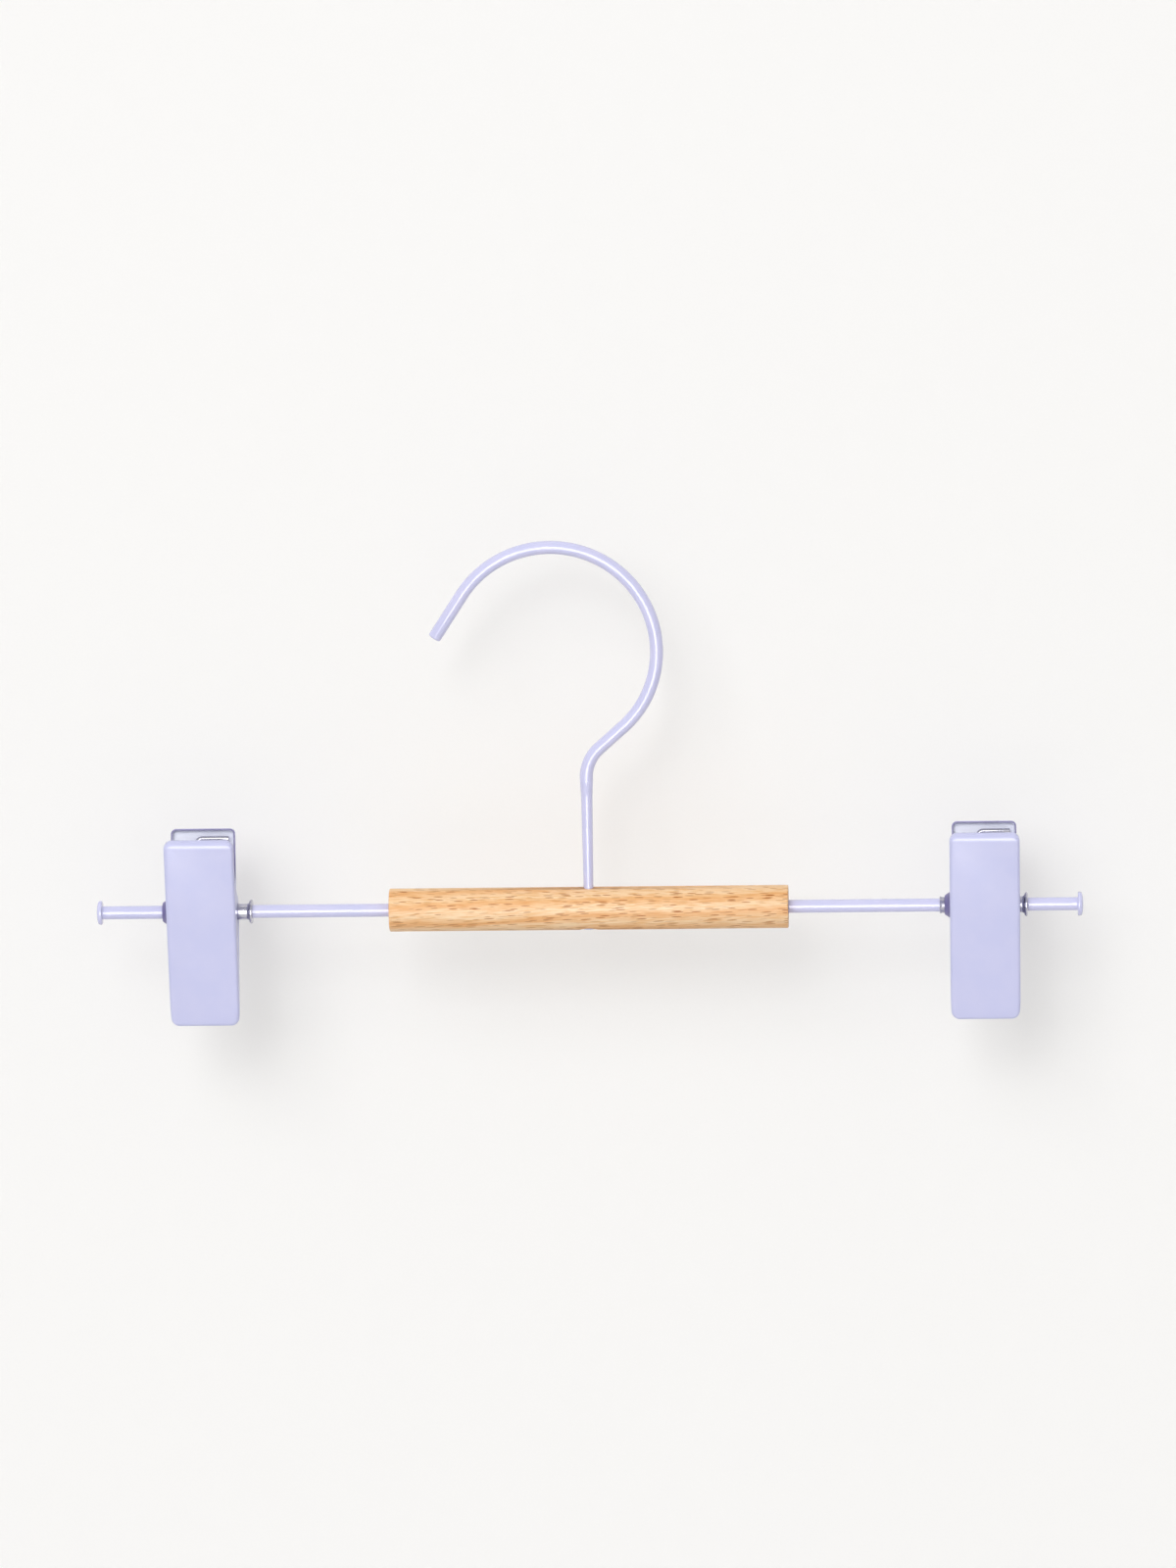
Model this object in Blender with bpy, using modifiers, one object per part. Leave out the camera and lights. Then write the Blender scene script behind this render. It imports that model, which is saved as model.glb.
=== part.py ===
# Clip hanger: a turned wooden grip on two coated rods, a wire hook that turns in the grip,
# and two sprung sheet-steel clips that slide along the rods and swing on them.
#
# Sizes are written in millimetres and brought to metres by MM. The frame's origin is the inner top
# of the hook, where the hanger hangs on a rail: +X runs to the right, +Y to the back and +Z up.
# The right clip is the same product as the left one, so both face the same way round.

import math

import bmesh
import bpy
import numpy as np
from mathutils import Vector

MM = 0.001

# Clearances
FIT_GAP = 0.3            # between pieces that touch, seat or run on each other

# Grip: the turned dowel
GRIP_LENGTH = 121.2
GRIP_DIAMETER = 13.1
GRIP_CHAMFER = 0.35

# Rods
BAR_LENGTH = 300.0       # from rod head to rod head
ROD_DIAMETER = 4.0
ROD_SEAT = 20.0          # how deep each rod sits in the grip
ROD_HEAD_DIAMETER = 7.3
ROD_HEAD_THICKNESS = 1.7
ROD_HEAD_DOME = 0.8
ROD_HEAD_EDGE = 0.2      # chamfer of the head's inner edge

# Hook, as seen from the front, with heights counted from the rods' axis
HOOK_WIRE = 4.0
HOOK_ARC_RADIUS = 31.9   # centre line of the large arc
HOOK_ARC_SIDE = 10.0     # how far the arc's centre lies to the left of the shank
HOOK_ARC_HEIGHT = 79.6
HOOK_THROAT_RADIUS = 30.8
HOOK_THROAT_START = -19.0  # degrees, counted from the right, where the large arc turns into the throat
HOOK_ARC_END = 146.8     # degrees, counted from the right
HOOK_TIP_LENGTH = 15.5
HOOK_TIP_ROUNDING = 0.5
HOOK_NECK_SLOPE = 41.6   # degrees above level
HOOK_NECK_RADIUS = 11.8
HOOK_NECK_LEAD = 0.5     # full wire below the neck bend
HOOK_SHANK_WAIST = 3.45  # the drawn-down shank just below the neck
HOOK_TANG = 3.0          # the shank where it enters the grip
HOOK_WAIST_DROP = 7.0    # below the neck bend
WIRE_STEP = 0.02         # length over which a wire jumps to another diameter

# Hook seat under the grip
WASHER_DIAMETER = 6.4
WASHER_THICKNESS = 0.7
HOOK_HEAD_DIAMETER = 4.8
HOOK_HEAD_THICKNESS = 0.9
HOOK_HEAD_RECESS = 0.35

# Hinge tubes: plated eyelets that carry the clips
TUBE_WALL = 0.3
TUBE_FLANGE_DIAMETER = 7.4
TUBE_FLANGE_THICKNESS = 0.9
TUBE_NECK_FILLET = 0.8
TUBE_MOUTH = 0.4         # rounding of the bore at the flange
TUBE_FLARE = 0.15        # how much the plain left end opens, on the radius
TUBE_FLARE_LENGTH = 0.6
TUBE_END_PLAY = 2.9      # how far the plates can shift along the tube

# Where the clips are: from the rod head's outer face to the tube's middle, and from there to the
# plates' middle, counted to the right
LEFT_CLIP_INSET = 34.3
RIGHT_CLIP_INSET = 30.2
LEFT_CLIP_SHIFT = -1.95
RIGHT_CLIP_SHIFT = 0.35

# Plates: pressed sheet
SHEET = 0.5
FRONT_WIDTH = 21.2
HANDLE_LENGTH = 25.0     # above the pivot, along the plate
JAW_LENGTH = 34.8        # below the pivot, along the plate
PIVOT_DEPTH = 7.1        # from the plate's outer face to the pivot
JAW_HALF_THICKNESS = 2.35
HANDLE_BEND = 2.0        # outer bend radius of the fold along the front handle's end
BACK_HANDLE_BEND = 1.3   # the back plate is pressed more squarely there
SIDE_BEND = 1.0          # the same along the sides and the jaw
HANDLE_CORNER = 2.5
BACK_HANDLE_CORNER = 1.6
JAW_CORNER = 2.6
HANDLE_RIM = 2.5         # depth of the folded rim, outside
JAW_RIM = 1.6
JAW_TAPER = 0.5          # how much each side draws in at the jaw's end
JAW_TAPER_LENGTH = 7.0
EAR_MARGIN = 1.7         # sheet round the ear's hole
EAR_BASE_UP = 10.5
EAR_BASE_DOWN = 29.0     # the ear's lower edge slants down almost to the jaw's end
BOSS_BASE_DIAMETER = 8.2  # the boss pressed out of the front plate's left ear
BOSS_TIP_DIAMETER = 6.6
BOSS_HEIGHT = 1.6
BOSS_EDGE = 0.25
EAR_STEPS = 8
BEND_STEPS = 3
CORNER_STEPS = 4
TAPER_STEPS = 4

# Springs
SPRING_WIRE = 1.5
SPRING_COILS = 4.5       # before the legs lean out
SPRING_COIL_GAP = 0.5
SPRING_SHIFT = 2.6       # coil's middle to the right of the plates' middle
SPRING_LEG_CORNER = 1.5
SPRING_LEG_RUN = 9.7     # the turned-over end of each leg
SPRING_LEG_DROP = 2.35   # top of the leg below the plate's end
CURL_POINTS = 10

# Pads
PAD_HEIGHT = 10.0
PAD_CLOSED_GAP = 0.3     # between the two pads' ridges
PAD_RIDGES = 5
PAD_RIDGE_DEPTH = 0.5

# Sides of round pieces and other modelling steps
GRIP_SIDES = 48
ROD_SIDES = 32
TUBE_SIDES = 32
HOLE_SIDES = 32
HOOK_RESOLUTION = 6      # gives 16 sides
SPRING_RESOLUTION = 1
HOOK_STEP = 4.5          # degrees for each point along the hook's arcs
NECK_STEP = 13.5         # the same along the neck bend
TIP_STEPS = 3
SHARP_ANGLE = 35.0       # degrees between faces that keep a crisp edge
MERGE_DISTANCE = 0.01
CUT_OVERRUN = 5.0        # how far a through drill runs past the piece it cuts
GAP_SAMPLES = 6          # between two points of a spring when its own gap is measured
NEIGHBOUR_SPAN = 4.0     # wire diameters along a spring that count as the same stretch
AXIS_MARK = 5.0          # drawn size of an empty

# Sizes that follow from the ones above
HOOK_ORIGIN_DROP = HOOK_ARC_HEIGHT + HOOK_ARC_RADIUS - HOOK_WIRE / 2
BAR_CENTRE = Vector((HOOK_ARC_SIDE, 0.0, -HOOK_ORIGIN_DROP))
ROD_BORE = ROD_DIAMETER + 2 * FIT_GAP
TUBE_BORE = ROD_DIAMETER + 2 * FIT_GAP
TUBE_DIAMETER = TUBE_BORE + 2 * TUBE_WALL
TUBE_LENGTH = BOSS_HEIGHT + FRONT_WIDTH + TUBE_END_PLAY + TUBE_FLANGE_THICKNESS
EAR_HOLE = TUBE_DIAMETER + 2 * FIT_GAP
EAR_RADIUS = EAR_HOLE / 2 + EAR_MARGIN
BACK_WIDTH = FRONT_WIDTH - 2 * (SHEET + FIT_GAP)
PLATE_REACH = math.hypot(JAW_LENGTH, PIVOT_DEPTH)
PLATE_TILT = math.atan2(PIVOT_DEPTH, JAW_LENGTH) - math.asin(JAW_HALF_THICKNESS / PLATE_REACH)
SPRING_PITCH = SPRING_WIRE + SPRING_COIL_GAP
SPRING_RADIUS = (TUBE_DIAMETER / 2 + FIT_GAP + SPRING_WIRE / 2) / math.cos(math.pi / CURL_POINTS)

WOOD_COLOUR = (0.80, 0.55, 0.31)
COATING_COLOUR = (0.62, 0.63, 0.84)
PLATED_COLOUR = (0.80, 0.80, 0.80)
PAD_COLOUR = (0.85, 0.84, 0.80)


# Scene and collections

def clear_scene():
    for old in list(bpy.data.objects):
        bpy.data.objects.remove(old, do_unlink=True)


def new_collection(name):
    collection = bpy.data.collections.new(name)
    bpy.context.scene.collection.children.link(collection)
    return collection


def new_material(name, colour, roughness, metallic):
    made = bpy.data.materials.new(name)
    made.use_nodes = True
    shader = made.node_tree.nodes["Principled BSDF"]
    shader.inputs["Base Color"].default_value = (*colour, 1.0)
    shader.inputs["Roughness"].default_value = roughness
    shader.inputs["Metallic"].default_value = metallic
    return made


def place(made, collection, material=None, parent=None, location=(0, 0, 0), rotation=(0, 0, 0)):
    """Link an object into its collection; location is in millimetres, counted from the parent."""
    collection.objects.link(made)
    if material is not None:
        made.data.materials.append(material)
    made.parent = parent
    made.location = Vector(location) * MM
    made.rotation_euler = rotation
    return made


def new_empty(name, collection, parent=None, location=(0, 0, 0)):
    empty = bpy.data.objects.new(name, None)
    empty.empty_display_size = AXIS_MARK * MM
    return place(empty, collection, parent=parent, location=location)


# Shapes

def finish_mesh(name, bm):
    mesh = bpy.data.meshes.new(name)
    bm.to_mesh(mesh)
    bm.free()
    mesh.shade_smooth()
    mesh.set_sharp_from_angle(angle=math.radians(SHARP_ANGLE))
    return bpy.data.objects.new(name, mesh)


def turned(name, profile, sides, closed=False):
    """A profile of (radius, height) points, down the outer side first, turned about local Z."""
    bm = bmesh.new()
    points = [bm.verts.new((radius * MM, 0.0, height * MM)) for radius, height in profile]
    for first, second in zip(points, points[1:]):
        bm.edges.new((first, second))
    if closed:
        bm.edges.new((points[-1], points[0]))
    made = finish_mesh(name, bm)
    screw = made.modifiers.new("Turn", 'SCREW')
    screw.axis = 'Z'
    screw.steps = sides
    screw.render_steps = sides
    screw.use_merge_vertices = True
    screw.merge_threshold = MERGE_DISTANCE * MM
    screw.use_smooth_shade = True
    return made


def wire(name, points, diameter, resolution, factors=None):
    """A round wire along millimetre points; factors thin or thicken it point by point."""
    curve = bpy.data.curves.new(name, 'CURVE')
    curve.dimensions = '3D'
    curve.bevel_depth = diameter / 2 * MM
    curve.bevel_resolution = resolution
    curve.use_fill_caps = True
    spline = curve.splines.new('POLY')
    spline.points.add(len(points) - 1)
    for index, point in enumerate(points):
        spline.points[index].co = (*(Vector(point) * MM), 1.0)
        spline.points[index].radius = factors[index] if factors else 1.0
    spline.use_smooth = True
    return bpy.data.objects.new(name, curve)


def extruded(name, outline, thickness):
    """A flat outline of (x, y) points with the thickness spread evenly about local Z = 0."""
    curve = bpy.data.curves.new(name, 'CURVE')
    curve.dimensions = '2D'
    curve.fill_mode = 'BOTH'
    curve.extrude = thickness / 2 * MM
    spline = curve.splines.new('POLY')
    spline.points.add(len(outline) - 1)
    for index, (x, y) in enumerate(outline):
        spline.points[index].co = (x * MM, y * MM, 0.0, 1.0)
    spline.use_cyclic_u = True
    return bpy.data.objects.new(name, curve)


def combine(target, tool, operation):
    """Join a hidden helper object to the target or cut the target with it."""
    tool.hide_render = True
    tool.display_type = 'WIRE'
    step = target.modifiers.new(tool.name, 'BOOLEAN')
    step.operation = operation
    step.solver = 'EXACT'
    step.object = tool


def drill(target, cutters, name, diameter, length, location, rotation, parent=None):
    """Cut a round hole; location is the middle of the drill, counted from the parent."""
    bm = bmesh.new()
    bmesh.ops.create_cone(
        bm, cap_ends=True, segments=HOLE_SIDES,
        radius1=diameter / 2 * MM, radius2=diameter / 2 * MM, depth=length * MM)
    cutter = place(finish_mesh(name, bm), cutters, parent=parent, location=location, rotation=rotation)
    combine(target, cutter, 'DIFFERENCE')


def arc_points(centre, radius, start, end, step):
    """Points on an arc in the (x, z) plane, from start to end in degrees, both included."""
    count = max(1, math.ceil(abs(end - start) / step))
    angles = [math.radians(start + (end - start) * i / count) for i in range(count + 1)]
    return [(centre[0] + radius * math.cos(a), centre[1] + radius * math.sin(a)) for a in angles]


# Grip and rods

def make_grip(parts, cutters, bar, wood):
    half = GRIP_LENGTH / 2
    radius = GRIP_DIAMETER / 2
    profile = [
        (0.0, half),
        (radius - GRIP_CHAMFER, half),
        (radius, half - GRIP_CHAMFER),
        (radius, -half + GRIP_CHAMFER),
        (radius - GRIP_CHAMFER, -half),
        (0.0, -half),
    ]
    along_x = (0, math.pi / 2, 0)
    grip = place(turned("grip", profile, GRIP_SIDES), parts, wood, bar, rotation=along_x)

    bore_depth = ROD_SEAT + FIT_GAP
    for side, sign in (("left", -1), ("right", 1)):
        # The drill starts outside the end, so that its own end is never flush with the wood's
        middle = sign * (half - bore_depth + (bore_depth + ROD_SEAT) / 2)
        drill(grip, cutters, side + "_rod_bore", ROD_BORE, bore_depth + ROD_SEAT,
              (middle, 0, 0), along_x, bar)

    drill(grip, cutters, "hook_bore", HOOK_TANG + 2 * FIT_GAP, GRIP_DIAMETER + 2 * CUT_OVERRUN,
          (0, 0, 0), (0, 0, 0), bar)
    seat_depth = hook_seat_depth()
    drill(grip, cutters, "hook_counterbore", WASHER_DIAMETER + 2 * FIT_GAP, 2 * seat_depth,
          (0, 0, -radius), (0, 0, 0), bar)
    return grip


def hook_seat_depth():
    """Depth of the counterbore under the grip: the washer, the wire's head and a recess."""
    return FIT_GAP + WASHER_THICKNESS + FIT_GAP + HOOK_HEAD_THICKNESS + HOOK_HEAD_RECESS


def make_rod(side, sign, parts, bar, coating):
    """One headed rod; the profile's top is the head's outer face."""
    seat = GRIP_LENGTH / 2 - ROD_SEAT
    outer = BAR_LENGTH / 2
    head_radius = ROD_HEAD_DIAMETER / 2
    dome_base = outer - ROD_HEAD_DOME
    dome = [(0.0, outer)]
    for step in (1, 2, 3):
        angle = step * math.pi / 6
        dome.append((head_radius * math.sin(angle), dome_base + ROD_HEAD_DOME * math.cos(angle)))
    profile = dome + [
        (head_radius, outer - ROD_HEAD_THICKNESS + ROD_HEAD_EDGE),
        (head_radius - ROD_HEAD_EDGE, outer - ROD_HEAD_THICKNESS),
        (ROD_DIAMETER / 2, outer - ROD_HEAD_THICKNESS),
        (ROD_DIAMETER / 2, seat),
        (0.0, seat),
    ]
    rod = turned(side + "_rod", profile, ROD_SIDES)
    return place(rod, parts, coating, bar, rotation=(0, sign * math.pi / 2, 0))


# Hook

def hook_path():
    """Centre line of the hook as (x, z) from the grip's axis, and the wire's diameter at each point."""
    slope = math.radians(HOOK_NECK_SLOPE)
    arc_centre = Vector((-HOOK_ARC_SIDE, HOOK_ARC_HEIGHT))

    # The throat is a tighter arc that leaves the large arc at its start angle and runs on into the
    # slanted line, which meets the shank's line at the neck
    start = math.radians(HOOK_THROAT_START)
    shift = HOOK_ARC_RADIUS - HOOK_THROAT_RADIUS
    throat_centre = arc_centre + shift * Vector((math.cos(start), math.sin(start)))
    throat = arc_points(throat_centre, HOOK_THROAT_RADIUS,
                        HOOK_NECK_SLOPE - 90, HOOK_THROAT_START, HOOK_STEP)
    large_arc = arc_points(arc_centre, HOOK_ARC_RADIUS, HOOK_THROAT_START, HOOK_ARC_END, HOOK_STEP)[1:]
    line_drop = (throat_centre.x * math.sin(slope) + HOOK_THROAT_RADIUS) / math.cos(slope)
    neck_height = throat_centre.y - line_drop

    # The neck bend rounds the corner between the shank and the slanted line
    turn = math.pi / 2 - slope
    bend_start = neck_height - HOOK_NECK_RADIUS * math.tan(turn / 2)
    bend_centre = (HOOK_NECK_RADIUS, bend_start)
    neck_bend = arc_points(bend_centre, HOOK_NECK_RADIUS, 180, 180 - math.degrees(turn), NECK_STEP)

    # The tip runs straight on from the arc and its end is a little rounded
    end = math.radians(HOOK_ARC_END)
    tip_direction = Vector((-math.sin(end), math.cos(end)))
    tip_start = Vector(large_arc[-1])
    tip = [(HOOK_TIP_LENGTH / 2, HOOK_WIRE)]
    for step in range(TIP_STEPS + 1):
        angle = math.pi / 2 * step / TIP_STEPS
        tip.append((HOOK_TIP_LENGTH - HOOK_TIP_ROUNDING * (1 - math.sin(angle)),
                    HOOK_WIRE - 2 * HOOK_TIP_ROUNDING * (1 - math.cos(angle))))

    path = shank_path(bend_start)
    for x, z in neck_bend + throat + large_arc:
        path.append((x, z, HOOK_WIRE))
    for distance, diameter in tip:
        point = tip_start + tip_direction * distance
        path.append((point.x, point.y, diameter))
    print("hook: the neck is", round(neck_height, 2), "mm above the rods' axis")
    return path


def shank_path(bend_start):
    """The shank from its upset head under the washer up to the neck bend."""
    head_bottom = -GRIP_DIAMETER / 2 + HOOK_HEAD_RECESS
    head_top = head_bottom + HOOK_HEAD_THICKNESS
    edge = HOOK_HEAD_THICKNESS / 3
    return [
        (0.0, head_bottom, HOOK_HEAD_DIAMETER - 2 * edge),
        (0.0, head_bottom + edge, HOOK_HEAD_DIAMETER),
        (0.0, head_top, HOOK_HEAD_DIAMETER),
        (0.0, head_top + WIRE_STEP, HOOK_TANG),
        (0.0, GRIP_DIAMETER / 2 + FIT_GAP, HOOK_TANG),
        (0.0, bend_start - HOOK_WAIST_DROP, HOOK_SHANK_WAIST),
        (0.0, bend_start - HOOK_WAIST_DROP / 2, (HOOK_SHANK_WAIST + HOOK_WIRE) / 2),
        (0.0, bend_start - HOOK_NECK_LEAD, HOOK_WIRE),
    ]


def make_hook(parts, bar, coating):
    """The hook's origin is the bar's centre, so its Z axis is the axis that it turns about."""
    path = hook_path()
    points = [(x, 0.0, z) for x, z, diameter in path]
    factors = [diameter / HOOK_WIRE for x, z, diameter in path]
    hook = wire("hook", points, HOOK_WIRE, HOOK_RESOLUTION, factors)
    return place(hook, parts, coating, bar)


def make_hook_washer(parts, bar, plated):
    outer = WASHER_DIAMETER / 2
    inner = HOOK_TANG / 2 + FIT_GAP
    top = -GRIP_DIAMETER / 2 + hook_seat_depth() - FIT_GAP
    bottom = top - WASHER_THICKNESS
    profile = [(inner, top), (outer, top), (outer, bottom), (inner, bottom)]
    return place(turned("hook_washer", profile, TUBE_SIDES, closed=True), parts, plated, bar)


# Clips: hinge tube

def make_hinge_tube(side, parts, slide_axis, plated):
    """An eyelet: a flange at the right end, a slightly opened left end, a bore right through."""
    half = TUBE_LENGTH / 2
    bore = TUBE_BORE / 2
    neck = TUBE_DIAMETER / 2
    flange = TUBE_FLANGE_DIAMETER / 2
    flange_back = half - TUBE_FLANGE_THICKNESS
    lip = TUBE_FLANGE_THICKNESS / 3
    profile = [
        (bore + TUBE_MOUTH, half),
        (flange - lip, half),
        (flange, half - lip),
        (flange, half - 2 * lip),
        (flange - lip, flange_back),
        (neck + TUBE_NECK_FILLET / 3, flange_back - TUBE_NECK_FILLET / 3),
        (neck, flange_back - TUBE_NECK_FILLET),
        (neck, -half + TUBE_FLARE_LENGTH),
        (neck + TUBE_FLARE, -half),
        (bore + TUBE_FLARE, -half),
        (bore, -half + TUBE_FLARE_LENGTH),
        (bore, half - TUBE_MOUTH),
    ]
    tube = turned(side + "_hinge_tube", profile, TUBE_SIDES, closed=True)
    return place(tube, parts, plated, slide_axis, rotation=(0, math.pi / 2, 0))


# Clips: plates

def ear_nose():
    """Round nose of an ear as (height, depth) points, top to bottom, between its two ramps."""
    upper = ear_tangent(EAR_BASE_UP, HANDLE_RIM)
    lower = ear_tangent(EAR_BASE_DOWN, JAW_RIM)
    nose = []
    for step in range(EAR_STEPS + 1):
        angle = upper + (math.pi - lower - upper) * step / EAR_STEPS
        height = EAR_RADIUS * math.cos(angle)
        nose.append((height, PIVOT_DEPTH + EAR_RADIUS * math.sin(angle)))
    return nose


def ramp_depth(height, nose_end):
    """Depth of the rim below the ear, along the lower ramp and then along the jaw."""
    end_height, end_depth = nose_end
    share = (height + EAR_BASE_DOWN) / (end_height + EAR_BASE_DOWN)
    return max(JAW_RIM, JAW_RIM + share * (end_depth - JAW_RIM))


def ear_tangent(base, rim):
    """Angle on the ear's nose, from straight along the plate, where the ramp from the base touches it."""
    drop = PIVOT_DEPTH - rim
    reach = math.hypot(base, drop)
    return math.acos(EAR_RADIUS / reach) - math.atan2(drop, base)


def half_width_at(height, half_width):
    """Half the plate's width at a height: it draws in along a curve towards the jaw's end."""
    below = max(0.0, JAW_TAPER_LENGTH - (height + JAW_LENGTH))
    return half_width - JAW_TAPER * (below / JAW_TAPER_LENGTH) ** 2


def plate_columns(width, corner):
    """Right half of the plate's rim, top to bottom, as (x, height, rim depth) columns."""
    half = width / 2
    columns = []
    for x, z in arc_points((half - corner, HANDLE_LENGTH - corner), corner, 90, 0, 90 / CORNER_STEPS):
        columns.append((x, z, HANDLE_RIM))
    columns.append((half, EAR_BASE_UP, HANDLE_RIM))
    nose = ear_nose()
    for height, depth in nose:
        columns.append((half, height, depth))
    taper_top = -JAW_LENGTH + JAW_TAPER_LENGTH
    corner_top = -JAW_LENGTH + JAW_CORNER
    for step in range(TAPER_STEPS):
        height = taper_top + (corner_top - taper_top) * step / TAPER_STEPS
        columns.append((half_width_at(height, half), height, ramp_depth(height, nose[-1])))
    corner_half = half_width_at(corner_top, half)
    for x, z in arc_points((corner_half - JAW_CORNER, corner_top), JAW_CORNER, 0, -90, 90 / CORNER_STEPS):
        columns.append((x, z, JAW_RIM))
    return columns


def plate_surface(width, corner, handle_bend):
    """Outer skin of a plate in the plate's own frame: pivot at the origin, face at -Y."""
    right = plate_columns(width, corner)
    left = [(-x, z, depth) for x, z, depth in reversed(right)]
    loop = right + left
    count = len(loop)
    bm = bmesh.new()
    rings = [[] for level in range(BEND_STEPS + 2)]
    for index, (x, z, depth) in enumerate(loop):
        before = Vector(loop[index - 1][:2])
        after = Vector(loop[(index + 1) % count][:2])
        along = (after - before).normalized()
        inward = Vector((along.y, -along.x))
        bend = SIDE_BEND
        if z > 0:
            bend = SIDE_BEND + (handle_bend - SIDE_BEND) * inward.y ** 2
        rings[0].append(bm.verts.new(Vector((x, -PIVOT_DEPTH + depth, z)) * MM))
        for level in range(BEND_STEPS + 1):
            angle = math.pi / 2 * level / BEND_STEPS
            inset = inward * bend * (1 - math.cos(angle))
            y = -PIVOT_DEPTH + bend * (1 - math.sin(angle))
            rings[level + 1].append(bm.verts.new(Vector((x + inset.x, y, z + inset.y)) * MM))
    for outer, inner in zip(rings, rings[1:]):
        for index in range(count):
            following = (index + 1) % count
            bm.faces.new((outer[index], inner[index], inner[following], outer[following]))
    # The rim runs clockwise as seen from the front, so the flat face takes it the other way round
    bm.faces.new(list(reversed(rings[-1])))
    return bm


def make_plate(name, width, corner, handle_bend, parts, cutters, swing_axis, coating, turn,
               with_boss=False):
    """A pressed plate with a rim folded in all round and two ears that the hinge tube passes through."""
    plate = finish_mesh(name, plate_surface(width, corner, handle_bend))
    shell = plate.modifiers.new("Sheet", 'SOLIDIFY')
    shell.thickness = SHEET * MM
    shell.offset = -1.0
    shell.use_even_offset = True
    place(plate, parts, coating, swing_axis, rotation=(PLATE_TILT, 0, turn))
    if with_boss:
        combine(plate, make_boss(name + "_boss", width, cutters, swing_axis), 'UNION')
    drill(plate, cutters, name + "_ear_holes", EAR_HOLE, width + 2 * (BOSS_HEIGHT + CUT_OVERRUN),
          (0, 0, 0), (0, math.pi / 2, 0), swing_axis)
    return plate


def make_boss(name, width, cutters, swing_axis):
    """A tapered round boss on the left ear, with its foot sunk into the ear's sheet."""
    face = width / 2
    tip = BOSS_TIP_DIAMETER / 2
    flare = (BOSS_BASE_DIAMETER - BOSS_TIP_DIAMETER) / 2 / BOSS_HEIGHT
    foot = SHEET / 2
    profile = [
        (0.0, face + BOSS_HEIGHT),
        (tip - BOSS_EDGE, face + BOSS_HEIGHT),
        (tip, face + BOSS_HEIGHT - BOSS_EDGE),
        (tip + flare * (BOSS_HEIGHT + foot), face - foot),
        (0.0, face - foot),
    ]
    return place(turned(name, profile, TUBE_SIDES), cutters, parent=swing_axis,
                 rotation=(0, -math.pi / 2, 0))


# Clips: pads

def pad_outline():
    """Side view of a pad in the plate's frame as (depth axis, height): flat back, ridged grip."""
    back = -PIVOT_DEPTH + SHEET + FIT_GAP
    bottom = -JAW_LENGTH + SHEET + FIT_GAP
    grip = []
    for step in range(2 * PAD_RIDGES + 1):
        height = bottom + PAD_HEIGHT * step / (2 * PAD_RIDGES)
        ridge = 0.0 if step % 2 else PAD_RIDGE_DEPTH
        grip.append((closing_face(height) - PAD_RIDGE_DEPTH + ridge, height))
    return [(back, bottom)] + grip + [(back, bottom + PAD_HEIGHT)]


def closing_face(height):
    """Where the upright plane of the closed pads lies in the plate's frame at a height."""
    return (-PAD_CLOSED_GAP / 2 + height * math.sin(PLATE_TILT)) / math.cos(PLATE_TILT)


def pad_width(plate_width):
    """The pad is as wide as the straight part of the jaw's end, so it clears the corners."""
    end_half = half_width_at(-JAW_LENGTH + JAW_CORNER, plate_width / 2)
    return 2 * (end_half - JAW_CORNER)


def make_pad(name, plate_width, parts, plate, soft):
    pad = extruded(name, pad_outline(), pad_width(plate_width))
    return place(pad, parts, soft, plate, rotation=(math.pi / 2, 0, math.pi / 2))


# Clips: spring

def leg_in_plate():
    """Depth and height of the leg's turned-over end in the plate's frame."""
    depth = PIVOT_DEPTH - SHEET - FIT_GAP - SPRING_WIRE / 2
    height = HANDLE_LENGTH - SPRING_LEG_DROP - SPRING_WIRE / 2
    return depth, height


def leg_lean():
    """Angle from upright at which a leg leaves the coil to reach the plate's inner face."""
    depth, height = leg_in_plate()
    reach = math.hypot(depth, height)
    lean_in_plate = math.atan2(depth, height) - math.asin(SPRING_RADIUS / reach)
    return PLATE_TILT + lean_in_plate


def leg_path(x, run, lean):
    """One leg on the back side, from the coil up: straight, a rounded corner, then along X by run."""
    depth, height = leg_in_plate()
    length = math.sqrt(depth ** 2 + height ** 2 - SPRING_RADIUS ** 2)
    foot = Vector((0.0, SPRING_RADIUS * math.cos(lean), -SPRING_RADIUS * math.sin(lean)))
    up = Vector((0.0, math.sin(lean), math.cos(lean)))
    side = Vector((math.copysign(1.0, run), 0.0, 0.0))
    corner = SPRING_LEG_CORNER
    points = [foot + up * (length - corner)]
    for step in (1, 2, 3):
        angle = step * math.pi / 6
        points.append(foot + up * (length - corner + corner * math.sin(angle))
                      + side * corner * (1 - math.cos(angle)))
    points.append(foot + up * length + side * abs(run))
    return [point + Vector((x, 0.0, 0.0)) for point in points]


def spring_path():
    """Centre line of the spring about the tube: back leg, coil, front leg."""
    lean = leg_lean()
    total = SPRING_COILS * math.tau - 2 * lean
    width = SPRING_PITCH * total / math.tau
    first = SPRING_SHIFT - width / 2
    steps = round(total / math.tau * CURL_POINTS)
    coil = []
    for step in range(steps + 1):
        angle = -lean - total * step / steps
        coil.append(Vector((first + width * step / steps,
                            SPRING_RADIUS * math.cos(angle), SPRING_RADIUS * math.sin(angle))))
    back_leg = leg_path(first, SPRING_LEG_RUN, lean)
    front_leg = leg_path(first + width, -SPRING_LEG_RUN, lean)
    front_leg = [Vector((point.x, -point.y, point.z)) for point in front_leg]
    return list(reversed(back_leg)) + coil + front_leg


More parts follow.
